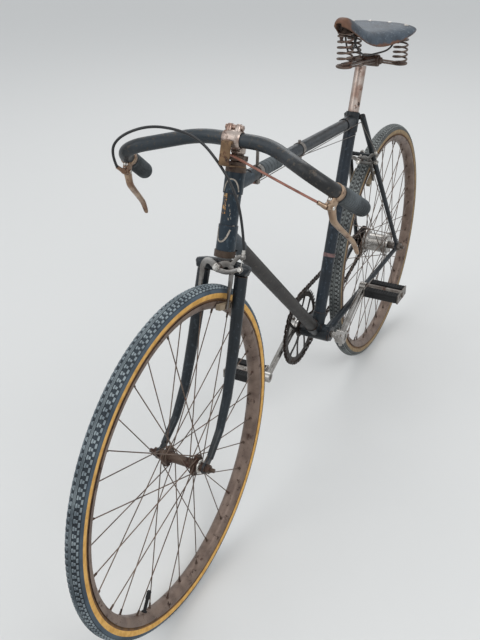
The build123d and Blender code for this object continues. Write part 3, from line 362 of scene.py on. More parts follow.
def worn_patch():
    """What is left of a plain ochre patch on the front of the head tube, with nothing drawn on it."""
    made = Finish("worn_patch", roughness=0.5)
    body = made.blend(made.patches(70.0, 0.4, 0.62, detail=5.0), "b07b3c", "c9a36a")
    flaked = made.patches(150.0, 0.43, 0.50, detail=6.0, roughness=0.75)
    return made.skin(made.blend(flaked, body, "23292f"))


def plain(name, base, second, scale=60.0, roughness=0.5, metallic=0.0):
    made = Finish(name, metallic=metallic, roughness=roughness)
    body = made.blend(made.patches(scale, 0.4, 0.65), base, second)
    made.bump(made.noise(scale * 6, detail=3.0), 0.12 * MILLIMETRE)
    return made.skin(body)


FRAME_PAINT = enamel("frame_paint", "0e1215", "171e24", "2c343a", dust=0.10)
HEAD_PAINT = enamel("head_paint", "101a22", "1b2a35", "36444e", dust=0.06)
DOWN_TUBE_PAINT = enamel("down_tube_paint", "1d1b1a", "282523", "3b3631", dust=0.10, roughness=0.5)
SEAT_TUBE_PAINT = enamel("seat_tube_paint", "0e1318", "18212a", "303a44", dust=0.08)
BAR_PAINT = enamel("bar_paint", "1b1d1f", "2b3339", "453f38", chip_share=0.2, dust=0.10, roughness=0.36)
NICKEL = steel("worn_nickel", "b7aaa1", "8d7468", "74492f", 0.5, roughness=0.3)
BROWN_STEEL = steel("brown_steel", "57483e", "403328", "4a3128", 0.7, roughness=0.46, metallic=0.5)
BRACKET_STEEL = steel("bracket_steel", "7b6247", "5b4633", "5a3a28", 0.6, roughness=0.45, metallic=0.6)
RIM_STEEL = steel("rim_steel", "77665b", "5e4e45", "4d3a31", 0.5, roughness=0.46, metallic=0.4)
PALE_STEEL = steel("pale_steel", "a9a6a2", "827e79", "5a4536", 0.1, roughness=0.22)
FORGED_STEEL = steel("forged_steel", "8f8d8a", "66625e", "4e3a30", 0.3, roughness=0.34)
GREY_STEEL = steel("grey_steel", "85817c", "5f5751", "54392c", 0.5, roughness=0.36)
DARK_STEEL = steel("dark_steel", "3a3532", "2a2523", "4a3022", 0.4, roughness=0.48, metallic=0.6)
SPOKE_STEEL = steel("spoke_steel", "6b5a4e", "4b3d34", "6b432d", 0.5, roughness=0.42, metallic=0.5)
BRONZE = steel("lever_alloy", "a8917a", "7d6250", "5f4130", 0.5, roughness=0.36, metallic=0.7)
COPPER_HOUSING = steel("rusted_housing", "9a6a5b", "744e42", "7d4a37", 0.5, roughness=0.45, metallic=0.35)
SPRING_STEEL = steel("spring_steel", "6c5d53", "4c4039", "5c3f30", 0.6, roughness=0.5, metallic=0.5)
BLACK_HOUSING = plain("black_housing", "111214", "1c1e20", roughness=0.35)
FRONT_TREAD = rubber("front_tread", "20252a", "3d464d", 0.6)
FRONT_BLOCKS = rubber("front_blocks", "566067", "8f999d", 0.85)
FRONT_SHOULDER = rubber("front_shoulder", "35404a", "56636d", 0.6)
REAR_TREAD = rubber("rear_tread", "2d2e2e", "4b4c4b", 0.6)
REAR_BLOCKS = rubber("rear_blocks", "595c5c", "8a8e8c", 0.8)
REAR_SHOULDER = rubber("rear_shoulder", "414342", "666764", 0.6)
GUM = gum_wall("gum_wall", "cfa25a", "b58843", "77592f")
GREY_GUM = gum_wall("grey_gum", "8f7a5a", "75624a", "4a3e30")
GUM_LINE = plain("gum_line", "6f4f2c", "4e3822", roughness=0.7)
GRIP_RUBBER = rubber("grip_rubber", "34383a", "62686b", 0.6)
BLACK_RUBBER = rubber("black_rubber", "121213", "3a3a3a", 0.3)
PALE_RUBBER = rubber("brake_block", "6f6455", "a4937a", 0.5)
LEATHER = leather()
LEATHER_BACK = plain("leather_back", "4a3122", "6b4830", scale=70.0, roughness=0.7)
RAIL_BLACK = plain("rail_black", "1a1918", "2e2520", scale=90.0, roughness=0.45, metallic=0.3)
CREAM_LINE = plain("cream_line", "a39a8f", "6f675c", scale=180.0)
PATCH = worn_patch()
PINK_TAPE = plain("faded_band", "6f5250", "4d3a38", scale=120.0)
BRIGHT_METAL = steel("bright_metal", "d2cfc9", "a8a39c", "6b5546", 0.1, roughness=0.2)

NODE_FINISH = {
    HEAD_PAINT: ["head_tube", "head_lugs"],
    FRAME_PAINT: ["top_tube", "seat_lug", "bottom_bracket_shell", "chain_stay_left",
                  "chain_stay_right", "seat_stay_left", "seat_stay_right", "stay_bridge", "fork_crown",
                  "fork_blade_left", "fork_blade_right"],
    DOWN_TUBE_PAINT: ["down_tube"],
    SEAT_TUBE_PAINT: ["seat_tube"],
    BAR_PAINT: ["handlebar"],
    NICKEL: ["stem", "seat_post"],
    BRACKET_STEEL: ["lamp_bracket"],
    BROWN_STEEL: ["front_hub", "front_axle", "headset_nuts", "headset_cups"],
    SPRING_STEEL: ["saddle_frame", "saddle_springs"],
    SPOKE_STEEL: ["front_spokes", "rear_spokes"],
    RIM_STEEL: ["front_rim", "rear_rim"],
    PALE_STEEL: ["crank_left", "crank_right", "crank_spindle", "rear_hub"],
    FORGED_STEEL: ["front_brake_caliper", "rear_brake_caliper"],
    GREY_STEEL: ["rear_axle", "pedal_frame_left", "pedal_frame_right",
                 "cable_clips", "rear_brake_wires"],
    DARK_STEEL: ["chainring", "sprocket", "chain"],
    BRONZE: ["brake_lever_left", "brake_lever_right"],
    COPPER_HOUSING: ["rear_brake_cable"],
    BLACK_HOUSING: ["front_brake_cable"],
    FRONT_TREAD: ["front_tyre"],
    REAR_TREAD: ["rear_tyre"],
    GRIP_RUBBER: ["grip_left", "grip_right"],
    PALE_RUBBER: ["front_brake_shoes", "rear_brake_shoes"],
    BLACK_RUBBER: ["pedal_rubbers_left", "pedal_rubbers_right"],
    LEATHER: ["saddle_leather"],
}


def dress_nodes():
    for material, names in NODE_FINISH.items():
        for name in names:
            mesh = frame["nodes"][name].data
            mesh.materials.clear()
            mesh.materials.append(material)


def settle(made, body, node=None):
    """Puts a piece on its body, and in the place of a node of the solids where one is given."""
    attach(made, body)
    if node:
        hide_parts(node)


def sideways(axis):
    """Two unit vectors square to an axis and to each other."""
    nearly_upright = abs(axis.z) >= 0.9
    first = axis.cross(Vector((1, 0, 0)) if nearly_upright else UP).normalized()
    return first, axis.cross(first)


def heading(points, i):
    """The way a path runs at one of its points."""
    return (points[min(i + 1, len(points) - 1)] - points[max(i - 1, 0)]).normalized()


def circle(centre, first, second, radius, count):
    """Points round a centre, in the plane of two unit vectors."""
    return [centre + (first * cos(tau * i / count) + second * sin(tau * i / count)) * radius * MILLIMETRE
            for i in range(count)]


CORNER_POWER = 0.55


def squared(value):
    """Takes a sine or cosine towards the side of a square, for sections with rounded corners."""
    return (1 if value > 0 else -1) * abs(value) ** CORNER_POWER


# Forms: points and faces gathered, then made into one piece
class Shape:
    def __init__(self):
        self.points = []
        self.faces = []
        self.slots = []

    def skin(self, rings, close_along=False, slot=0, slots=None):
        """Joins rings of equally many points and, where they don't close, caps both ends."""
        start, count = len(self.points), len(rings[0])
        for ring in rings:
            self.points.extend(ring)
        steps = len(rings) if close_along else len(rings) - 1
        for i in range(steps):
            here, there = start + i * count, start + ((i + 1) % len(rings)) * count
            for j in range(count):
                k = (j + 1) % count
                self.faces.append((here + j, here + k, there + k, there + j))
                self.slots.append(slots[j] if slots else slot)
        if not close_along:
            self.faces.append(tuple(start + j for j in reversed(range(count))))
            self.faces.append(tuple(start + (len(rings) - 1) * count + j for j in range(count)))
            self.slots += [slot, slot]

    def turned(self, foot, axis, profile, segments=24):
        """A lathe form: profile is (distance along the axis from foot, radius)."""
        axis = Vector(axis).normalized()
        first, second = sideways(axis)
        self.skin([circle(foot + axis * along * MILLIMETRE, first, second, radius, segments)
                   for along, radius in profile])

    def wheel(self, centre, outline, segments, slots=None):
        """A closed outline of (radius, y) in metres, turned round a wheel's axle."""
        rings = [[centre + on_circle(radius, tau * i / segments, y) for radius, y in outline]
                 for i in range(segments)]
        self.skin(rings, close_along=True, slots=slots)

    def tube(self, path, radii, sides=12):
        """A round bar along a path; radii is one radius, or one for each point."""
        rings = []
        first = None
        for i, point in enumerate(path):
            ahead = heading(path, i)
            first = (first - ahead * first.dot(ahead)).normalized() if first else sideways(ahead)[0]
            radius = radii[i] if isinstance(radii, tuple) else radii
            rings.append(circle(point, first, ahead.cross(first), radius, sides))
        self.skin(rings)

    def strap(self, rows, normal, sides=12):
        """A bar with rounded edges; rows are a point, its width, and its depth along the normal."""
        points = [row[0] for row in rows]
        spreads = [(squared(cos(tau * k / sides)), squared(sin(tau * k / sides))) for k in range(sides)]
        rings = []
        for i, (point, width, depth) in enumerate(rows):
            ahead = heading(points, i)
            aside = ahead.cross(normal).normalized()
            across = aside * width * MILLIMETRE / 2
            upright = aside.cross(ahead) * depth * MILLIMETRE / 2
            rings.append([point + across * out + upright * up for out, up in spreads])
        self.skin(rings)

    def prism(self, outline, thickness):
        """A flat outline given as points, made thick along a vector."""
        half = thickness / 2
        self.skin([[p - half for p in outline], [p + half for p in outline]])

    def build(self, name, materials, crease):
        mesh = bpy.data.meshes.new(name)
        mesh.from_pydata([tuple(p) for p in self.points], [], self.faces)
        for material in materials if isinstance(materials, list) else [materials]:
            mesh.materials.append(material)
        mesh.polygons.foreach_set("material_index", self.slots)
        work = bmesh.new()
        work.from_mesh(mesh)
        bmesh.ops.remove_doubles(work, verts=work.verts, dist=1e-6)
        bmesh.ops.recalc_face_normals(work, faces=work.faces)
        work.to_mesh(mesh)
        work.free()
        mesh.polygons.foreach_set("use_smooth", [True] * len(mesh.polygons))
        mesh.set_sharp_from_angle(angle=radians(crease))
        return shown(name, mesh)

    def piece(self, name, materials, body, node=None, crease=35.0):
        settle(self.build(name, materials, crease), body, node)


def flipped(outline):
    """The other half of a wheel's outline that is the same on the left and on the right."""
    return [(radius, -y) for radius, y in reversed(outline)]


def between(t, a, b, c, d):
    """The value a share t of the way from b to c, on a smooth curve that comes from a and goes on to d."""
    square = 2 * a - 5 * b + 4 * c - d
    cube = 3 * b - a - 3 * c + d
    return 0.5 * (2 * b + (c - a) * t + square * t * t + cube * t ** 3)


def smoothed(rows, steps=5):
    """Rows of numbers with smooth steps put in between them, through every given row."""
    made = []
    last = len(rows) - 1
    for i in range(last):
        before, here, there, after = rows[max(i - 1, 0)], rows[i], rows[i + 1], rows[min(i + 2, last)]
        for k in range(steps):
            made.append(tuple(between(k / steps, *values) for values in zip(before, here, there, after)))
    return made + [tuple(rows[last])]


def chamfered(length, radius, cut, drop=None):
    """The lathe profile of a round bar whose ends are cut off over a length and by a drop in radius."""
    low = radius - (cut if drop is None else drop)
    return ((0, low), (cut, radius), (length - cut, radius), (length, low))


DOME_STEPS = 6
DOME_SEGMENTS = 20


def dome(shape, foot, axis, radius, height):
    turns = [pi / 2 * i / DOME_STEPS for i in range(DOME_STEPS + 1)]
    shape.turned(foot, axis, [(height * sin(turn), radius * cos(turn)) for turn in turns], DOME_SEGMENTS)


# The two wheels
AXLES = {"front": FRONT_AXLE, "rear": REAR_AXLE}
SPOKES = {"front": 32, "rear": 40}
VALVE_ANGLES = {"front": radians(-57), "rear": radians(70)}
WHEEL_STEPS = 192

# Tyres: a carcass with gum walls and a raised block tread
TYRE_MATERIALS = {
    "front": [FRONT_TREAD, GUM, FRONT_BLOCKS, FRONT_SHOULDER, GUM_LINE],
    "rear": [REAR_TREAD, GREY_GUM, REAR_BLOCKS, REAR_SHOULDER, GUM_LINE],
}
BASE, WALL, BLOCKS, SHOULDER, LINE = range(5)
TREAD_DEPTH = 2.2 * MILLIMETRE
TREAD_PITCHES = 168
CARCASS_STEPS = 44
SECTION_CENTRE_R = TYRE_R - TYRE_HALF
WALL_FOOT = radians(132)
SHOULDER_FROM = radians(51)
SHOULDER_TO = radians(76)
GUM_LINE_FROM = radians(112)
# shares of the tread's depth
CARCASS_LIFT = 0.35
SHOULDER_LIFT = 0.75
BLOCK_FOOT_LIFT = 0.3
TYRE_FOOT_DOWN = 4.0 * MILLIMETRE
TYRE_FOOT_IN = 3.5 * MILLIMETRE


def section_point(turn, lift):
    """A point (radius, y) on the tyre's round section; turn is 0 on the crown and positive to the left."""
    reach = TYRE_HALF - TREAD_DEPTH + TREAD_DEPTH * lift
    return SECTION_CENTRE_R + reach * cos(turn), reach * sin(turn)


def carcass_outline():
    """The section's points, and the material of each step between them."""
    turns = [WALL_FOOT - 2 * WALL_FOOT * i / CARCASS_STEPS for i in range(CARCASS_STEPS + 1)]
    outer = []
    for turn in turns:
        on_shoulder = SHOULDER_FROM < abs(turn) < SHOULDER_TO
        outer.append(section_point(turn, SHOULDER_LIFT if on_shoulder else CARCASS_LIFT))
    slots = []
    for i in range(CARCASS_STEPS):
        middle = abs(turns[i] + turns[i + 1]) / 2
        if middle < SHOULDER_FROM:
            slots.append(BASE)
        elif middle < SHOULDER_TO:
            slots.append(SHOULDER)
        else:
            slots.append(WALL if middle < GUM_LINE_FROM else LINE)
    foot_r, foot_y = RIM_R - TYRE_FOOT_DOWN, RIM_HALF - TYRE_FOOT_IN
    return outer + [(foot_r, -foot_y), (foot_r, foot_y)], slots + [LINE, LINE, LINE]


# Tread rows on one side: from turn, to turn, share of the pitch that is rubber, offset in pitches
TREAD_ROWS = (
    (radians(11), radians(22), 0.60, 0.0),
    (radians(22), radians(35), 0.42, 0.09),
    (radians(37), radians(50), 0.66, 0.5),
)
RIB_TURNS = (radians(-5.5), radians(0), radians(5.5))
RIB_HALF = radians(2.0)
RIB_TOP_HALF = RIB_HALF * 0.7
# turn from a rib's middle, share of the tread's depth
RIB_ROWS = (
    (-RIB_HALF, BLOCK_FOOT_LIFT), (-RIB_TOP_HALF, 1.0), (RIB_TOP_HALF, 1.0), (RIB_HALF, BLOCK_FOOT_LIFT),
)
BLOCK_INSET = radians(1.4)
BLOCK_TRIM = 0.12


def tread_block(shape, centre, side, start, end, from_angle, to_angle):
    trim = (to_angle - from_angle) * BLOCK_TRIM
    rings = []
    for lift, turn_in, angle_in in ((BLOCK_FOOT_LIFT, 0.0, 0.0), (1.0, BLOCK_INSET, trim)):
        low, high = start + turn_in, end - turn_in
        first, last = from_angle + angle_in, to_angle - angle_in
        ring = []
        for angle, turn in ((first, low), (last, low), (last, high), (first, high)):
            radius, y = section_point(side * turn, lift)
            ring.append(centre + on_circle(radius, angle, y))
        rings.append(ring)
    shape.skin(rings, slot=BLOCKS)


def tyre(word):
    shape = Shape()
    centre = AXLES[word]
    outline, slots = carcass_outline()
    shape.wheel(centre, outline, WHEEL_STEPS, slots)
    for middle in RIB_TURNS:
        rib = [section_point(middle + turn, lift) for turn, lift in RIB_ROWS]
        shape.wheel(centre, rib, WHEEL_STEPS, [BLOCKS] * len(rib))
    step = tau / TREAD_PITCHES
    for side in (1, -1):
        for start, end, share, offset in TREAD_ROWS:
            for i in range(TREAD_PITCHES):
                angle = (i + offset) * step
                tread_block(shape, centre, side, start, end, angle, angle + step * share)
    materials = TYRE_MATERIALS[word]
    shape.piece(f"{word}_tyre_tread", materials, f"{word}_wheel", f"{word}_tyre", crease=28.0)


# The raised line round each wall, just above the rim
# rows: degrees short of the wall's foot, share of the tread's depth
BEAD_ROWS = ((14, 0.3), (12, 0.75), (9, 0.75), (7, 0.3))


def tyre_bead(word):
    shape = Shape()
    for side in (1, -1):
        line = [section_point(side * (WALL_FOOT - radians(short)), lift) for short, lift in BEAD_ROWS]
        shape.wheel(AXLES[word], line, WHEEL_STEPS)
    shape.piece(f"{word}_tyre_bead", GUM_LINE, f"{word}_wheel")


# One side of a rim's section: how far below its edge, how far in from its side
RIM_ROWS = ((5.1, 2.9), (0, 2.9), (0, 0), (6, 0), (8.5, 1.2), (13.8, 5.8), (15.4, 8.5))
RIM_DEPTH = 16.0


def rolled_rim(word):
    left = [(RIM_R - below * MILLIMETRE, RIM_HALF - inset * MILLIMETRE) for below, inset in RIM_ROWS]
    outline = left + [(RIM_R - RIM_DEPTH * MILLIMETRE, 0.0)] + flipped(left)
    shape = Shape()
    shape.wheel(AXLES[word], outline, WHEEL_STEPS)
    shape.piece(f"{word}_rim_rolled", RIM_STEEL, f"{word}_wheel", f"{word}_rim", crease=40.0)


NIPPLE_PROFILE = ((0, 3.15), (1.6, 2.94), (2.2, 2.1), (11, 1.89))
NIPPLE_SEAT_R = RIM_R - 15.8 * MILLIMETRE
NIPPLE_SIDE = 3.0 * MILLIMETRE
NIPPLE_SUNK = 1.0 * MILLIMETRE
FLANGE_Y = 29.5 * MILLIMETRE


def nipples(word):
    shape = Shape()
    centre, count = AXLES[word], SPOKES[word]
    for i in range(count):
        side = 1 if i % 2 else -1
        foot = centre + on_circle(NIPPLE_SEAT_R, tau * (i + 0.5) / count, side * NIPPLE_SIDE)
        inward = (centre + LEFT * side * FLANGE_Y - foot).normalized()
        shape.turned(foot - inward * NIPPLE_SUNK, inward, NIPPLE_PROFILE, 8)
    shape.piece(f"{word}_nipples", BROWN_STEEL, f"{word}_wheel")


VALVE_PROFILE = ((-2, 5.2), (1.5, 5.2), (2, 3.2), (24, 3.2), (24.5, 4.2), (38, 4.2), (40, 3))
VALVE_SEAT_R = RIM_R - 16.0 * MILLIMETRE


def valve(word):
    outward = on_circle(1.0, VALVE_ANGLES[word])
    shape = Shape()
    shape.turned(AXLES[word] + outward * VALVE_SEAT_R, -outward, VALVE_PROFILE, 16)
    shape.piece(f"{word}_valve", BLACK_RUBBER, f"{word}_wheel")


# Chain of alternating inner and outer links round the pitch line
RING_TEETH = 46
SPROCKET_TEETH = 18
CHAIN_PITCH = 12.7 * MILLIMETRE
PLATE_GAP = 3.2
PLATE_THICK = 1.1
PLATE_SPACE = 0.2
INNER_PLATE_HIGH = 8.8
OUTER_PLATE_HIGH = 8.4
PLATE_WAIST = 0.34
PLATE_END_STEPS = 6
PIN_R = 1.8
PIN_END_R = 1.4
PIN_END = 0.4
PIN_PROUD = 0.6
ROLLER_PROFILE = ((0, 3.8), (PLATE_GAP, 3.8))


def ring_pitch_r(teeth):
    return CHAIN_PITCH / (2 * sin(pi / teeth))


def chain_line():
    """Points about one pitch apart on the line that wraps both toothed wheels."""
    y = centre_of("chainring").y
    big, small = ring_pitch_r(RING_TEETH), ring_pitch_r(SPROCKET_TEETH)
    across = Vector((REAR_AXLE.x - CRANK_AXLE.x, 0, REAR_AXLE.z - CRANK_AXLE.z))
    distance = across.length
    tilt = atan2(across.z, across.x)
    spread = pi / 2 - asin((big - small) / distance)
    run = sqrt(distance ** 2 - (big - small) ** 2)
    big_arc = (tau - 2 * spread) * big
    small_arc = 2 * spread * small
    total = 2 * run + big_arc + small_arc
    count = 2 * round(total / CHAIN_PITCH / 2)
    centre_big = Vector((CRANK_AXLE.x, y, CRANK_AXLE.z))
    centre_small = Vector((REAR_AXLE.x, y, REAR_AXLE.z))

    def on_big(angle):
        return centre_big + on_circle(big, tilt + angle)

    def on_small(angle):
        return centre_small + on_circle(small, tilt + angle)

    def at(s):
        if s < run:
            return on_big(spread).lerp(on_small(spread), s / run)
        s -= run
        if s < small_arc:
            return on_small(spread - s / small)
        s -= small_arc
        if s < run:
            return on_small(-spread).lerp(on_big(-spread), s / run)
        return on_big(-spread - (s - run) / big)

    return [at(total * i / count) for i in range(count)]


def over_teeth(point):
    """The toothed wheels turn inside a chain that stays, so no pin or roller crosses their teeth."""
    for centre, teeth in ((CRANK_AXLE, RING_TEETH), (REAR_AXLE, SPROCKET_TEETH)):
        if Vector((point.x - centre.x, 0, point.z - centre.z)).length < ring_pitch_r(teeth) + CHAIN_PITCH / 2:
            return True
    return False


def link_plate(shape, start, end, y, height):
    """A waisted plate with two round ends, y to the left of the chain's middle."""
    ahead = (end - start).normalized()
    up = Vector((-ahead.z, 0, ahead.x))
    outline = []
    for centre, facing in ((end, 1), (start, -1)):
        for i in range(PLATE_END_STEPS + 1):
            angle = -pi / 2 + pi * i / PLATE_END_STEPS
            outline.append(centre + (ahead * cos(angle) + up * sin(angle)) * facing * height / 2 * MILLIMETRE)
        outline.append((start + end) / 2 + up * facing * height * PLATE_WAIST * MILLIMETRE)
    aside = LEFT * y * MILLIMETRE
    shape.prism([point + aside for point in outline], LEFT * PLATE_THICK * MILLIMETRE)


def chain():
    shape = Shape()
    points = chain_line()
    inner_y = PLATE_GAP / 2 + PLATE_THICK / 2 - PLATE_SPACE / 2
    outer_y = inner_y + PLATE_THICK + PLATE_SPACE
    pin_half = PLATE_GAP / 2 + PLATE_THICK * 2 + PIN_PROUD
    for i, start in enumerate(points):
        end = points[(i + 1) % len(points)]
        y, height = (outer_y, OUTER_PLATE_HIGH) if i % 2 else (inner_y, INNER_PLATE_HIGH)
        for side in (1, -1):
            link_plate(shape, start, end, side * y, height)
        free = not over_teeth(start)
        pin_from = -PLATE_GAP / 2 if free else PLATE_GAP / 2 + PLATE_SPACE / 2
        long = pin_half - pin_from
        for side in (1, -1):
            shape.turned(start + LEFT * side * pin_from * MILLIMETRE, LEFT * side,
                         ((0, PIN_R), (long - PIN_END, PIN_R), (long, PIN_END_R)), 10)
        if free:
            shape.turned(start - LEFT * PLATE_GAP / 2 * MILLIMETRE, LEFT, ROLLER_PROFILE, 12)
    shape.piece("chain_links", DARK_STEEL, "frame", "chain")


# Cables: the same chosen points as the solids, on smooth curves
FRONT_CABLE = (
    (493, -200, 812), (503, -205, 842), (500, -184, 873), (484, -134, 893), (468, -84, 888),
    (457, -48, 871), (455, -20, 843), (457, 14, 799), (469, 38, 748), (479.2, 46, 694),
)
REAR_CABLE = (
    (484, 182, 807), (472, 128, 819), (456, 65, 833), (439, 12, 843), (425, -18, 844), (400, -31, 835),
    (384, -27, 802), (370, -22, 778), (354, -12, 767), (342, -2, 764),
)
FRONT_HOUSING_R = 2.5
REAR_HOUSING_R = 2.25


def cable_curve(name, route, radius, material):
    curve = bpy.data.curves.new(name, "CURVE")
    curve.dimensions = "3D"
    spline = curve.splines.new("NURBS")
    spline.points.add(len(route) - 1)
    for knot, point in zip(spline.points, placed(route)):
        knot.co = (*point, 1.0)
    spline.order_u = 3
    spline.use_endpoint_u = True
    curve.bevel_depth = radius * MILLIMETRE
    curve.bevel_resolution = 5
    curve.resolution_u = 16
    curve.use_fill_caps = True
    curve.materials.append(material)
    return shown(name, curve)


def as_mesh(source):
    bpy.context.view_layer.update()
    graph = bpy.context.evaluated_depsgraph_get()
    mesh = bpy.data.meshes.new_from_object(source.evaluated_get(graph))
    name = source.name
    bpy.data.objects.remove(source)
    mesh.polygons.foreach_set("use_smooth", [True] * len(mesh.polygons))
    return shown(name, mesh)


def cables():
    front = cable_curve("front_cable_housing", FRONT_CABLE, FRONT_HOUSING_R, BLACK_HOUSING)
    settle(front, "steering", "front_brake_cable")
    rear = as_mesh(cable_curve("rear_cable_housing", REAR_CABLE, REAR_HOUSING_R, COPPER_HOUSING))
    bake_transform(rear)
    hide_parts("rear_brake_cable")


# Saddle: one stretched sheet of thick leather with turned-down skirts, sagging between nose and cantle
# Sections: x, half width of the top, crown height, edge height, how far the skirt turns in
SADDLE_SECTIONS = (
    (184, 9, 42, 34, 0), (174, 15, 48.5, 30, 0), (150, 20, 49.5, 20, 1), (114, 27, 34, 2, 2),
    (85, 34, 18, -16, 3), (50, 46, 5, -30, 4), (20, 62, 1, -33, 5), (-15, 78, 0, -29, 5),
    (-45, 90, 0, -22, 4), (-80, 96, 1, -15, 3), (-99, 92, 2, -10, 2),
)
SADDLE_ACROSS = 20
TOP_SPREAD = 0.12
SPREAD_POWER = 6
SKIRT_POWER = 3.6
TUCK_POWER = 8
LEATHER_THICK = 4.5 * MILLIMETRE


def saddle_section(x, half, crown, edge, tuck):
    """Points from the right edge over the top to the left edge."""
    points = []
    for i in range(SADDLE_ACROSS + 1):
        share = -1 + 2 * i / SADDLE_ACROSS
        bend = abs(share)
        spread = min(1.0, (1 + TOP_SPREAD) * bend - TOP_SPREAD * bend ** SPREAD_POWER)
        y = half * spread - tuck * bend ** TUCK_POWER
        drop = (crown - edge) * bend ** SKIRT_POWER
        points.append(Vector((x, (1 if share > 0 else -1) * y, crown - drop)) * MILLIMETRE)
    return points


def saddle_cover():
    shape = Shape()
    rows, columns = len(SADDLE_SECTIONS), SADDLE_ACROSS + 1
    for section in SADDLE_SECTIONS:
        shape.points.extend(saddle_section(*section))
    for i in range(rows - 1):
        for j in range(columns - 1):
            here = i * columns + j
            shape.faces.append((here, here + 1, here + 1 + columns, here + columns))
            shape.slots.append(0)
    made = shape.build("saddle_cover", [LEATHER, LEATHER_BACK], crease=180.0)
    solid = made.modifiers.new("thickness", "SOLIDIFY")
    solid.material_offset = 1
    solid.material_offset_rim = 1
    solid.thickness = LEATHER_THICK
    solid.offset = -1.0
    rounded = made.modifiers.new("round", "SUBSURF")
    rounded.levels = 2
    rounded.render_levels = 2
    settle(made, "frame", "saddle_leather")
    return made


# Grips: ribbed rubber sleeves with rounded ends
GRIP_R = 15.6
GRIP_PAST_BAR = 6.0 * MILLIMETRE
GRIP_TIP = ((0, 0), (0.4, 7), (2, 11), (5, 14.2), (9, 15.3))
GRIP_RIBS = 11
GRIP_RIBS_FROM = 12.0
GRIP_RIB_PITCH = 6.6
# rows along one rib, and how far they stand from the grip's radius
GRIP_RIB = ((0, -0.2), (1, 0.1), (3.4, 0.1), (4.4, -0.9), (5.6, -0.9))
GRIP_COLLAR = ((86, 15.4), (88, 15.6), (93, 15.6), (94, 14.1), (94, 12.8))


def bar_end(side):
    """The bar's last corner and its end."""
    return placed([(498, side * 190, 848), (373, side * 222, 763)])


def grip(node):
    corner, end = bar_end(1 if node.endswith("left") else -1)
    back = (corner - end).normalized()
    ribs = [(GRIP_RIBS_FROM + i * GRIP_RIB_PITCH + along, GRIP_R + rise)
            for i in range(GRIP_RIBS) for along, rise in GRIP_RIB]
    shape = Shape()
    shape.turned(end - back * GRIP_PAST_BAR, back, (*GRIP_TIP, *ribs, *GRIP_COLLAR), 40)
    shape.piece(f"ribbed_{node}", GRIP_RUBBER, "steering", node, crease=40.0)


# Side-pull brakes: forged arms with rounded edges
ARM_DEPTH = 4.0
ARM_LAYER = 4.3
# rows: out, down, width
ARM_ROWS = (
    (-6, 1, 11), (4, -2.5, 14), (14, -8, 12), (23, -7, 11), (28, 2, 10),
    (28.4, 14, 9), (28.6, 30, 8), (28.6, 45, 6.5), (28.5, 58, 5), (28.5, 72, 5),
)
UPPER_LUG_ROWS = ((12, -8, 9), (21, -8, 8.5), (28, -11, 8), (33, -19, 8), (39, -25, 8), (46, -26, 8))
LOWER_LUG_ROWS = ((-6, 3, 9), (8, 5, 10), (20, 5.5, 9), (32, 2, 8), (40, -2, 8), (46, -4, 8))
LUG_OUT = 46.0
UPPER_LUG_DOWN = -26.0
LOWER_LUG_DOWN = -4.0
LUG_R = 5.5
BOLT_R = 3.5
BOLT_PAST_NUT = 8.0
BOLT_TIP = 9.0
BACK_NUT = ((0, 5.6), (0.8, 6.5), (5, 6.5))
WASHER = ((0, 6), (3, 6))
CAP_NUT = ((0, 6.5), (1.2, 6.5), (1.4, 5.4), (5.6, 5.4), (6.4, 4.8))
CLAMP_WASHER = ((0, 4.6), (0.8, 4.6))
CLAMP_NUT = ((0, 4.2), (2.8, 4.2), (3.4, 3.6))
ADJUSTER = ((0, 3.2), (2.4, 3.2), (2.6, 2.5), (5, 2.5), (5.2, 3.5), (8.4, 3.5), (8.8, 3.0), (12, 3.0))
WIRE_R = 0.8
WIRE_PAST_CLAMP = 7.0


class Caliper:
    """A brake's own frame: out to the side, down to the rim, forth along the bolt from the arms' back."""

    def __init__(self, at, down, ahead):
        self.at, self.down, self.ahead = at, down, ahead

    def place(self, out, down, forth=0.0):
        return self.at + (LEFT * out + self.down * down + self.ahead * forth) * MILLIMETRE

    def arm(self, shape, rows, side, layer):
        forth = layer * ARM_LAYER + ARM_DEPTH / 2
        shape.strap([(self.place(side * out, down, forth), width, ARM_DEPTH)
                     for out, down, width in smoothed(rows)], self.ahead)

    def turned(self, shape, out, down, forth, profile, segments=24):
        shape.turned(self.place(out, down, forth), self.ahead, profile, segments)


def caliper(word, brake, back, body):
    shape = Shape()
    for side, layer in ((1, 0), (-1, 1)):
        brake.arm(shape, ARM_ROWS, side, layer)
    brake.arm(shape, UPPER_LUG_ROWS, 1, 0)
    brake.arm(shape, LOWER_LUG_ROWS, 1, 1)
    for layer, down in enumerate((UPPER_LUG_DOWN, LOWER_LUG_DOWN)):
        brake.turned(shape, LUG_OUT, down, layer * ARM_LAYER, chamfered(ARM_DEPTH, LUG_R, 0.6))
    name = f"{word}_caliper_forged"
    shape.piece(name, FORGED_STEEL, body, f"{word}_brake_caliper", crease=50.0)
    caliper_fittings(name, brake, back, body)


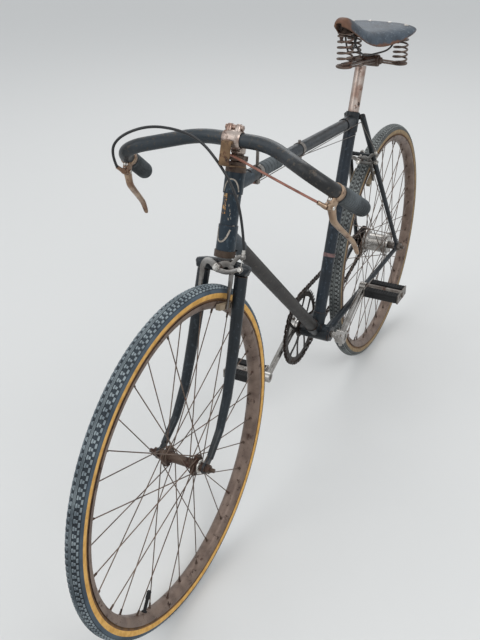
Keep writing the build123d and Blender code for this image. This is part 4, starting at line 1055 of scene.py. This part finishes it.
def caliper_fittings(name, brake, back, body):
    """The bolt with its nuts and washer, the cable's clamp, and its adjuster with the wire between them."""
    shape = Shape()
    front = ARM_LAYER + ARM_DEPTH
    past = front + ARM_LAYER - ARM_DEPTH - 0.3
    long = back + BOLT_PAST_NUT + past + BOLT_TIP
    brake.turned(shape, 0, 0, -back - BOLT_PAST_NUT,
                 ((0, BOLT_R - 0.5), (0.5, BOLT_R), (long - 0.6, BOLT_R), (long, BOLT_R - 0.5)))
    brake.turned(shape, 0, 0, -back - BACK_NUT[-1][0], BACK_NUT, 6)
    brake.turned(shape, 0, 0, -WASHER[-1][0], WASHER)
    brake.turned(shape, 0, 0, past, CAP_NUT)
    brake.turned(shape, LUG_OUT, LOWER_LUG_DOWN, front, CLAMP_WASHER)
    brake.turned(shape, LUG_OUT, LOWER_LUG_DOWN, front + CLAMP_WASHER[-1][0], CLAMP_NUT, 6)
    upper = brake.place(LUG_OUT, UPPER_LUG_DOWN, ARM_DEPTH / 2)
    lower = brake.place(LUG_OUT, LOWER_LUG_DOWN + WIRE_PAST_CLAMP, ARM_LAYER + ARM_DEPTH / 2)
    shape.turned(upper, -brake.down, ADJUSTER, 20)
    shape.tube([upper, lower], WIRE_R, 8)
    shape.piece(name + "_fittings", BRIGHT_METAL, body, crease=40.0)


FRONT_BOLT_UP = 358.0
FRONT_BOLT_AHEAD = 19.0
FRONT_BOLT_BACK = 34.0
REAR_BOLT_BACK = 19.0
REAR_BOLT_AHEAD = 14.0 * MILLIMETRE
SEAT_ANGLE = radians(70.7)
SEAT_TUBE_UP = on_circle(1.0, pi - SEAT_ANGLE)
STAY_TOP_UP = 521.0 * MILLIMETRE
STAY_TOP = Vector((-14, 0, -2)) * MILLIMETRE
STAY_FOOT = Vector((12, 0, 20)) * MILLIMETRE
BRIDGE_SHARE = 0.285


def rear_caliper_place():
    """The rear brake sits on the stay bridge and works along the seat stays."""
    top = CRANK_AXLE + SEAT_TUBE_UP * STAY_TOP_UP + STAY_TOP
    foot = REAR_AXLE + STAY_FOOT
    down = (foot - top).normalized()
    ahead = Vector((-down.z, 0, down.x))
    return Caliper(top.lerp(foot, BRIDGE_SHARE) + ahead * REAR_BOLT_AHEAD, down, ahead)


def brakes():
    front = Caliper(steer(FRONT_BOLT_UP, FRONT_BOLT_AHEAD), -STEER_UP, STEER_AHEAD)
    caliper("front", front, FRONT_BOLT_BACK, "steering")
    caliper("rear", rear_caliper_place(), REAR_BOLT_BACK, "frame")


# Brake levers: a clamp band, a hooded body and a flat blade that follows the bar
LEVER_BACK = 97.0 * MILLIMETRE
LEVER_BAND_R = 14.65
LEVER_BAND_LONG = 12.0
# rows: along the grip, down from the bar's middle, width, depth
LEVER_BODY = (
    (-14, 30, 10, 10), (-9, 27, 12, 13), (-3, 25, 13, 16), (4, 28, 13, 13), (13, 36, 12.5, 10),
    (24, 44, 12.5, 8.5), (44, 48.5, 12.5, 7.5), (74, 53, 12, 6.5), (104, 58.5, 11, 6), (120, 65, 9.5, 5.5),
    (132, 71.5, 8, 5), (136, 73.5, 5, 3.5),
)
LEVER_NECK = ((-1, 11, 14, 20), (-1.5, 18, 13.5, 21), (-2, 26, 13, 18))
LEVER_LEAN = 0.4
LEVER_PIVOT = (-4, 27)
PIVOT_HALF = 9.0
PIVOT_PROFILE = chamfered(2 * PIVOT_HALF, 3.4, 0.8)
PIVOT_HEAD = (8.8 * MILLIMETRE, 3.6, 1.4)
# rows: along, down, forward of that point, radius, height
BAND_SCREWS = ((-10, 15, 2.2, 4.2, 1.8), (-10, 24, 2.0, 3.4, 1.6))
CABLE_NOSE = (-14, 30)
CABLE_GAP = 0.3 * MILLIMETRE
FERRULE_SHARES = (0.0, 0.45, 0.5, 1.0)
FERRULE_RADII = (4.6, 4.0, 3.6, 3.6)


def lever(word, cable):
    corner, end = bar_end(1 if word == "left" else -1)
    lie = (end - corner).normalized()
    down = (lie * UP.dot(lie) - UP).normalized()
    across = lie.cross(down)
    clamp = end - lie * LEVER_BACK

    def spot(along, low):
        return clamp + (lie * along + down * low) * MILLIMETRE

    def rows(table, steps):
        return [(spot(along, low), width, depth) for along, low, width, depth in smoothed(table, steps)]

    shape = Shape()
    shape.strap(rows(LEVER_BODY, 5), (down - lie * LEVER_LEAN).normalized(), sides=14)
    shape.strap(rows(LEVER_NECK, 3), lie, sides=14)
    shape.turned(spot(-LEVER_BAND_LONG / 2, 0), lie, chamfered(LEVER_BAND_LONG, LEVER_BAND_R, 0.6), 36)
    pivot = spot(*LEVER_PIVOT)
    shape.turned(pivot - across * PIVOT_HALF * MILLIMETRE, across, PIVOT_PROFILE, 16)
    first, second = placed(cable[:2])
    nose, stop = spot(*CABLE_NOSE), first - (second - first).normalized() * CABLE_GAP
    shape.tube([nose.lerp(stop, share) for share in FERRULE_SHARES], FERRULE_RADII, 16)
    node = f"brake_lever_{word}"
    shape.piece(f"{node}_forged", BRONZE, "steering", node, crease=50.0)
    bright = Shape()
    aside, radius, height = PIVOT_HEAD
    for facing in (across, -across):
        dome(bright, pivot + facing * aside, facing, radius, height)
    for along, low, forward, radius, height in BAND_SCREWS:
        dome(bright, spot(along - forward, low), -lie, radius, height)
    bright.piece(f"{node}_screws", BRIGHT_METAL, "steering", crease=40.0)


# Stem head: a rounded clamp with two lobes and a cross bolt on top, on a curved neck
STEM_CLAMP = point_at(426, 0, 870) - STEER_FOOT
STEM_CLAMP_UP = STEM_CLAMP.dot(STEER_UP) / MILLIMETRE
STEM_CLAMP_AHEAD = STEM_CLAMP.dot(STEER_AHEAD) / MILLIMETRE
STEM_FROM = 440.0
STEM_R = 11.1
# rows: down from the clamp's middle, radius
STEM_HEAD = ((24, 11.1), (22, 12.8), (16, 13.2), (6, 11.5), (1, 8.5))
BINDER_HEAD = ((0, 6.2), (3, 6.2), (3.4, 5.6))
# rows: share of the way ahead, down from the clamp's middle, width, depth
STEM_NECK = ((0, 12, 21, 17), (0.4, 12, 20, 18), (0.8, 6, 22, 22))
STEM_CLAMP_HALF = 17.0
# one end of the clamp: in from its face, radius
CLAMP_END = ((1, 12.8), (0, 13.8), (0, 14.5), (3, 16.5), (9, 17.5))
LOBE_UP = 13.0
LOBE_SIDE = 8.5
# rows: up from the lobe's foot, width, depth
LOBE_ROWS = ((0, 12, 20), (6, 11.5, 18), (11, 9.5, 14), (13.5, 6, 9))
CLAMP_BOLT_UP = 20.0
CLAMP_BOLT = chamfered(2 * STEM_CLAMP_HALF, 5.0, 0.6, 0.8)


def stem():
    shape = Shape()
    up, ahead, half = STEM_CLAMP_UP, STEM_CLAMP_AHEAD, STEM_CLAMP_HALF
    head = [(up - STEM_FROM - below, radius) for below, radius in STEM_HEAD]
    shape.turned(steer(STEM_FROM), STEER_UP, [(0, STEM_R)] + head, 32)
    shape.turned(steer(up - STEM_HEAD[-1][0]), STEER_UP, BINDER_HEAD, 6)
    shape.strap([(steer(up - below, ahead * share), width, depth)
                 for share, below, width, depth in smoothed(STEM_NECK)], STEER_UP)
    right = [(radius * MILLIMETRE, (inset - half) * MILLIMETRE) for inset, radius in CLAMP_END]
    shape.wheel(steer(up, ahead), right + flipped(right), 48)
    for side in (1, -1):
        shape.strap([(steer(up + LOBE_UP + rise, ahead, side * LOBE_SIDE), width, depth)
                     for rise, width, depth in LOBE_ROWS], STEER_AHEAD)
    shape.turned(steer(up + CLAMP_BOLT_UP, ahead, -half), LEFT, CLAMP_BOLT, 20)
    shape.piece("stem_forged", NICKEL, "steering", "stem", crease=50.0)


# Fork crown: a rounded bridge between two sockets
CROWN_LOW = 346.0
CROWN_HEIGHT = 24.0
# rows from an end to the middle: to the side, up from the middle, width, depth
CROWN_ROWS = ((52, -3, 12, 14), (50, -2, 18, 22), (38, -1, 22, 29), (22, 0, 23, 26), (0, 0, 24, 30))
CROWN_RACE = ((0, 13.5), (2, 16.5), (22, 17.5), (24, 16.5))


def fork_crown():
    shape = Shape()
    right = [(-side, *row) for side, *row in CROWN_ROWS]
    rows = right + list(reversed(CROWN_ROWS[:-1]))
    shape.strap([(steer(CROWN_LOW + CROWN_HEIGHT / 2 + lift, 0, y), width, depth)
                 for y, lift, width, depth in rows], STEER_AHEAD, sides=20)
    shape.turned(steer(CROWN_LOW), STEER_UP, CROWN_RACE, 32)
    shape.piece("fork_crown_rounded", FRAME_PAINT, "steering", "fork_crown", crease=50.0)


# Saddle springs and their frame, at the places of the solids. Rows: x, y, foot z, height, turns
SPRINGS = ((-99, 0, 893, 60, 5), (-318, 58, 862, 44, 4), (-318, -58, 862, 44, 4))
SPRING_R = 16.0
SPRING_WIRE_R = 2.2
TURN_STEPS = 28


def saddle_springs():
    shape = Shape()
    for x, y, z, height, turns in SPRINGS:
        count = turns * TURN_STEPS
        angles = [tau * i / TURN_STEPS for i in range(count + 1)]
        shape.tube(placed([(x + SPRING_R * cos(angle), y + SPRING_R * sin(angle), z + height * i / count)
                           for i, angle in enumerate(angles)]), SPRING_WIRE_R)
    shape.piece("saddle_coils", SPRING_STEEL, "frame", "saddle_springs", crease=60.0)


POST_TOP = Vector((-277.6, 0.0, 866.0))
CLAMP_HALF = 21.0
CLAMP_PROFILE = ((0, 10.5), (1.5, 13.5), (4, 14), (38, 14), (40.5, 13.5), (42, 10.5))
CLAMP_END_NUT = ((0, 8.5), (5, 8.5), (6.2, 7.2))
CUP_DOWN = 9.7
CUP_PROFILE = ((0, 13), (1.0, 17.5), (2.6, 18.8), (4.4, 18.8), (6.0, 17.0), (7.0, 12.0))
CAP_UP = 2.5
CAP_PROFILE = ((0, 16.5), (1, 18), (3, 18), (3.6, 12.5), (10, 8.5))
FRONT_CAP_TOP = (17.5, 6.5)
REAR_CAP_TOP = (24.0, 6.5)
ROD_R = 2.3
ROD_SIDE = 16.0
ROD_APART = 2.6
ROD_DOWN = 6.2
FRONT_ROD_END = (-8, 9)
REAR_ROD_BACK = 6.0


def saddle_frame():
    shape = Shape()
    shape.turned(point_at(POST_TOP.x, -CLAMP_HALF, POST_TOP.z), LEFT, CLAMP_PROFILE, 28)
    for side in (1, -1):
        shape.turned(point_at(POST_TOP.x, side * CLAMP_HALF, POST_TOP.z), LEFT * side, CLAMP_END_NUT, 6)
    for x, y, z, height, _ in SPRINGS:
        shape.turned(point_at(x, y, z - CUP_DOWN), UP, CUP_PROFILE, 32)
        cap_top = REAR_CAP_TOP if y else FRONT_CAP_TOP
        shape.turned(point_at(x, y, z + height + CAP_UP), UP, (*CAP_PROFILE, cap_top), 32)
        for side in (1, -1):
            if side * y < 0:
                continue
            end_x, end_y = (x + REAR_ROD_BACK, y) if y else (x + FRONT_ROD_END[0], side * FRONT_ROD_END[1])
            for lift in (ROD_APART, -ROD_APART):
                shape.tube(placed([(POST_TOP.x, side * ROD_SIDE, POST_TOP.z + lift),
                                   (end_x, end_y, z - ROD_DOWN + lift)]), ROD_R)
    shape.piece("saddle_underframe", SPRING_STEEL, "frame", "saddle_frame", crease=45.0)


# The two rails under the leather, from the rear springs' heads to the front one's
RAIL = (
    (-316, 50, 910.5), (-300, 47, 907.5), (-284, 44, 898), (-262, 39, 893), (-225, 29, 893),
    (-185, 20, 896), (-155, 14, 908), (-134, 11, 928), (-122, 9.5, 948), (-113, 8, 957),
)
RAIL_R = 2.1


def saddle_rails():
    shape = Shape()
    for side in (1, -1):
        shape.tube(placed(smoothed([(x, side * y, z) for x, y, z in RAIL])), RAIL_R)
    shape.piece("saddle_rails", RAIL_BLACK, "frame", crease=60.0)


# Rivets that hold the leather on its frame: x, y
RIVETS = ((-322, 66), (-322, -66), (-326, 24), (-326, -24))
RIVET_PROFILE = ((0, 5.6), (0.9, 5.6), (1.1, 4.0), (2.1, 3.2), (2.6, 1.4))
RIVET_SUNK = 0.4 * MILLIMETRE
ABOVE_SADDLE = 1100.0


def rivets(cover):
    """Each rivet stands on the cover where a line from above meets it."""
    bpy.context.view_layer.update()
    evaluated = cover.evaluated_get(bpy.context.evaluated_depsgraph_get())
    shape = Shape()
    for x, y in RIVETS:
        hit, point, normal, _ = evaluated.ray_cast(point_at(x, y, ABOVE_SADDLE), -UP)
        if hit:
            shape.turned(point - normal * RIVET_SUNK, normal, RIVET_PROFILE, 20)
    shape.piece("saddle_rivets", BRIGHT_METAL, "frame", crease=40.0)


# Lining, patch and scratches on the head tube
# rows: degrees round the steering axis from ahead to the left, millimetres up it
COLLAR_R = 17.95
TUBE_R = 16.15
COLLAR_LOW_END = 426.5
COLLAR_HIGH_START = 491.5
ARCH = (
    (-24, 479), (-32, 483), (-34, 490), (-26, 503), (-6, 512), (14, 514), (34, 511), (52, 502), (61, 490),
    (60, 483), (52, 479),
)
LOWER_LINE = (
    (-46, 431), (-44, 418), (-35, 407), (-17, 402.5), (4, 404.5), (22, 412), (37, 424), (52, 431), (68, 432),
)
WORN_PATCH = ((-19, 488), (-20, 480), (-19, 468), (-21, 458), (-20, 452))
SCRATCHES = (
    ((20, 462), (24, 457)), ((27, 455), (25, 450)), ((17, 446), (20, 442)), ((31, 447), (33, 444)),
    ((12, 470), (13, 466)),
)
ARCH_WIDE = 2.4
LOWER_LINE_WIDE = 3.0
SCRATCH_WIDE = 1.1
PATCH_WIDE = 7.8
PAINT_SUNK = 0.2 * MILLIMETRE
PAINT_PROUD = 0.12 * MILLIMETRE


def on_head(degrees, up):
    """A point on the head tube or its collars, and the way out of it."""
    on_tube = COLLAR_LOW_END < up < COLLAR_HIGH_START
    out = STEER_AHEAD * cos(radians(degrees)) + LEFT * sin(radians(degrees))
    return steer(up) + out * (TUBE_R if on_tube else COLLAR_R) * MILLIMETRE, out


def ribbon(shape, rows, width):
    """A thin line of paint that lies on the head tube."""
    rings = []
    spots = [on_head(*row) for row in rows]
    points = [point for point, _ in spots]
    for i, (point, out) in enumerate(spots):
        across = heading(points, i).cross(out).normalized() * width * MILLIMETRE / 2
        rings.append([point + across - out * PAINT_SUNK, point + across + out * PAINT_PROUD,
                      point - across + out * PAINT_PROUD, point - across - out * PAINT_SUNK])
    shape.skin(rings)


def head_lining():
    shape = Shape()
    ribbon(shape, smoothed(ARCH, 7), ARCH_WIDE)
    ribbon(shape, smoothed(LOWER_LINE, 7), LOWER_LINE_WIDE)
    for scratch in SCRATCHES:
        ribbon(shape, scratch, SCRATCH_WIDE)
    shape.piece("head_lining", CREAM_LINE, "frame", crease=60.0)
    patch = Shape()
    ribbon(patch, smoothed(WORN_PATCH, 6), PATCH_WIDE)
    patch.piece("head_patch", PATCH, "frame", crease=60.0)


# A faded band round the seat tube
BAND_UP = 186.0 * MILLIMETRE
BAND_PROFILE = chamfered(9.0, 14.65, 0.3)
SEAT_TUBE_TOP = point_at(-174.8, 0, 767.3)


def seat_tube_band():
    seat_up = (SEAT_TUBE_TOP - CRANK_AXLE).normalized()
    shape = Shape()
    shape.turned(CRANK_AXLE + seat_up * BAND_UP, seat_up, BAND_PROFILE, 36)
    shape.piece("seat_tube_band", PINK_TAPE, "frame")


# Worn tape wound round the top tube behind the front clip
TOP_TUBE_ENDS = ((-168.2, 0.0, 748.4), (426.5, 0.0, 789.0))
TAPE_PROFILE = chamfered(12.2, 13.8, 1.0, 0.9)
TAPE_TURNS = 6
TAPE_PITCH = 13.2
TAPE_FROM = 103.0


def top_tube_tape():
    back, front = placed(TOP_TUBE_ENDS)
    rearward = (back - front).normalized()
    shape = Shape()
    for turn in range(TAPE_TURNS):
        start = front + rearward * (TAPE_FROM + turn * TAPE_PITCH) * MILLIMETRE
        shape.turned(start, rearward, TAPE_PROFILE, 36)
    shape.piece("top_tube_tape", GRIP_RUBBER, "frame")


# Lamp bracket: a thin plate under the top nut, bent up ahead of the stem and rolled at its top
BRACKET_UP = 536.05
BRACKET_THICK = 2.5
BRACKET_EYE = chamfered(BRACKET_THICK, 18.0, 0.4, 0.8)
# rows: ahead, up from the plate's middle, width; the last ones go round the roll on top
BRACKET_ROWS = (
    (12, 0, 26), (20, 0, 22), (34, 0, 20), (44, 0.3, 20), (48.6, 2.2, 20), (50, 7, 20), (50, 16, 20),
    (50, 28, 20), (50, 37, 20), (49, 40.6, 20), (46.6, 41.4, 20), (44.8, 39.6, 20), (45.4, 37.4, 20),
)


def lamp_bracket():
    shape = Shape()
    shape.strap([(steer(BRACKET_UP + up, ahead), BRACKET_THICK, wide)
                 for ahead, up, wide in smoothed(BRACKET_ROWS, 4)], LEFT, sides=16)
    shape.turned(steer(BRACKET_UP - BRACKET_THICK / 2), STEER_UP, BRACKET_EYE, 40)
    shape.piece("lamp_bracket_bent", BRACKET_STEEL, "steering", "lamp_bracket", crease=40.0)


# A bright dust ring on the front hub's left end
DUST_RING_Y = 36.8 * MILLIMETRE
DUST_RING = chamfered(3.4, 13.2, 0.5, 0.8)


def dust_ring():
    shape = Shape()
    shape.turned(FRONT_AXLE + LEFT * DUST_RING_Y, LEFT, DUST_RING, 32)
    shape.piece("front_dust_ring", BRIGHT_METAL, "steering", crease=40.0)


# Chainring: forked arms between a boss and the toothed ring, with large windows
RING_THICK = 2.4
RING_INNER_R = 78.0 * MILLIMETRE
RING_BOSS = chamfered(RING_THICK, 26.0, 0.4)
RING_ARMS = 5
ARM_SPREAD = radians(19)
ARM_THICK = RING_THICK * 0.96
CRANK_ANGLE = radians(156.6)
# rows: radius in metres, share of the spread, width
ARM_FORK = ((0.022, 0.15, 11), (0.036, 0.28, 8.5), (0.052, 0.62, 7.5), (0.068, 0.92, 8.5), (0.080, 1.0, 13))
# share of a tooth's pitch, height over the pitch circle
TOOTH_PROFILE = ((-0.38, -3.6), (-0.28, -3.3), (-0.17, -0.4), (-0.10, 2.4), (-0.04, 3.2), (0.04, 3.2),
                 (0.10, 2.4), (0.17, -0.4), (0.28, -3.3), (0.38, -3.6))
TOOTH_TIP_SHARE = 0.55
TOOTH_BEVEL = 3.0 * MILLIMETRE


def chainring():
    shape = Shape()
    centre = centre_of("chainring")
    half = RING_THICK / 2 * MILLIMETRE
    tip = half * TOOTH_TIP_SHARE
    rings = []
    for i in range(RING_TEETH):
        for share, height in TOOTH_PROFILE:
            angle = -tau * (i + share) / RING_TEETH
            outer = ring_pitch_r(RING_TEETH) + height * MILLIMETRE
            left = [(outer, tip), (outer - TOOTH_BEVEL, half), (RING_INNER_R, half)]
            rings.append([centre + on_circle(radius, angle, y) for radius, y in left + flipped(left)])
    shape.skin(rings, close_along=True)
    shape.turned(centre - LEFT * half, LEFT, RING_BOSS, 48)
    for i in range(RING_ARMS):
        middle = CRANK_ANGLE + tau * i / RING_ARMS
        for spread in (ARM_SPREAD, -ARM_SPREAD):
            shape.strap([(centre + on_circle(reach, middle + spread * share), width, ARM_THICK)
                         for reach, share, width in smoothed(ARM_FORK, 4)], LEFT)
    shape.piece("chainring_cut", DARK_STEEL, "crankset", "chainring")


# Pedal rubbers: blocks with pyramid studs on top and below and a groove along the outer sides
RUBBER_DEEP = 19.0 * MILLIMETRE
# shares of the half depth and the half height
RUBBER_OUTLINE = (
    (-1, -0.86), (-0.84, -1), (0.84, -1), (1, -0.86), (1, -0.5), (0.92, -0.36), (1, -0.22), (1, 0.22),
    (0.92, 0.36), (1, 0.5), (1, 0.86), (0.84, 1), (-0.84, 1), (-1, 0.86),
)
STUD_ROWS = (-1, 0, 1)
STUD_ROW_SHARE = 0.27
STUD_COLUMNS = 13
STUD_HIGH = 1.6 * MILLIMETRE
STUD_SUNK = 0.2 * MILLIMETRE
STUD_PROFILE = ((0, 3.1), (1.12, 2.1), (1.7, 1.2))


def pedal_rubbers(side_word):
    node = f"pedal_rubbers_{side_word}"
    low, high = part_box(node)
    long = high.y - low.y
    top, bottom = high.z - STUD_HIGH, low.z + STUD_HIGH
    half_x, half_z = RUBBER_DEEP / 2, (top - bottom) / 2
    shape = Shape()
    for side in (1, -1):
        x = (low.x + high.x) / 2 + side * ((high.x - low.x) / 2 - half_x)
        outline = [Vector((x + side * u * half_x, low.y, (top + bottom) / 2 + v * half_z))
                   for u, v in RUBBER_OUTLINE]
        shape.skin([outline, [point + LEFT * long for point in outline]])
        for face, level in ((1, top), (-1, bottom)):
            for i in range(STUD_COLUMNS):
                y = low.y + long * (i + 0.5) / STUD_COLUMNS
                for row in STUD_ROWS:
                    foot = Vector((x + RUBBER_DEEP * STUD_ROW_SHARE * row, y, level - face * STUD_SUNK))
                    shape.turned(foot, UP * face, STUD_PROFILE, 4)
    shape.piece(f"studded_{node}", BLACK_RUBBER, f"pedal_{side_word}", node, crease=30.0)


# Stage: a pale floor, a soft sky and three soft lamps
FLOOR_REACH = 40.0
FLOOR_COLOUR = (0.62, 0.62, 0.61, 1)
FLOOR_ROUGHNESS = 0.9
SKY_COLOUR = (0.94, 0.97, 1.0, 1)
SKY_STRENGTH = 0.85
LAMP_AIM = Vector((0.2, 0, -0.4))
# name, place, size, power
LAMPS = (
    ("key", (1.6, 2.4, 2.6), 2.4, 60.0),
    ("fill", (2.6, -1.8, 1.8), 2.5, 22.0),
    ("back", (-2.4, -1.2, 2.4), 2.0, 30.0),
)


def stage():
    mesh = bpy.data.meshes.new("floor")
    corners = [(x * FLOOR_REACH, y * FLOOR_REACH, GROUND_Z) for x, y in ((-1, -1), (1, -1), (1, 1), (-1, 1))]
    mesh.from_pydata(corners, [], [(0, 1, 2, 3)])
    floor = shown("floor", mesh)
    material = bpy.data.materials.new("floor")
    material.use_nodes = True
    shader = material.node_tree.nodes["Principled BSDF"]
    shader.inputs["Base Color"].default_value = FLOOR_COLOUR
    shader.inputs["Roughness"].default_value = FLOOR_ROUGHNESS
    mesh.materials.append(material)
    world = bpy.data.worlds.new("studio")
    bpy.context.scene.world = world
    world.use_nodes = True
    background = world.node_tree.nodes["Background"]
    background.inputs["Color"].default_value = SKY_COLOUR
    background.inputs["Strength"].default_value = SKY_STRENGTH
    for name, place, size, power in LAMPS:
        light = bpy.data.lights.new(name, "AREA")
        light.size = size
        light.energy = power
        lamp = shown(name, light)
        lamp.location = place
        lamp.rotation_euler = (LAMP_AIM - Vector(place)).to_track_quat("-Z", "Y").to_euler()
    bpy.context.scene.view_settings.view_transform = "Standard"


make_camera()
stage()
dress_nodes()
for make_part in (tyre, tyre_bead, rolled_rim, nipples, valve):
    for end in AXLES:
        make_part(end)
chain()
cables()
rivets(saddle_cover())
grip("grip_left")
grip("grip_right")
brakes()
lever("left", REAR_CABLE)
lever("right", FRONT_CABLE)
stem()
fork_crown()
saddle_springs()
saddle_frame()
saddle_rails()
lamp_bracket()
dust_ring()
chainring()
pedal_rubbers("left")
pedal_rubbers("right")
head_lining()
seat_tube_band()
top_tube_tape()
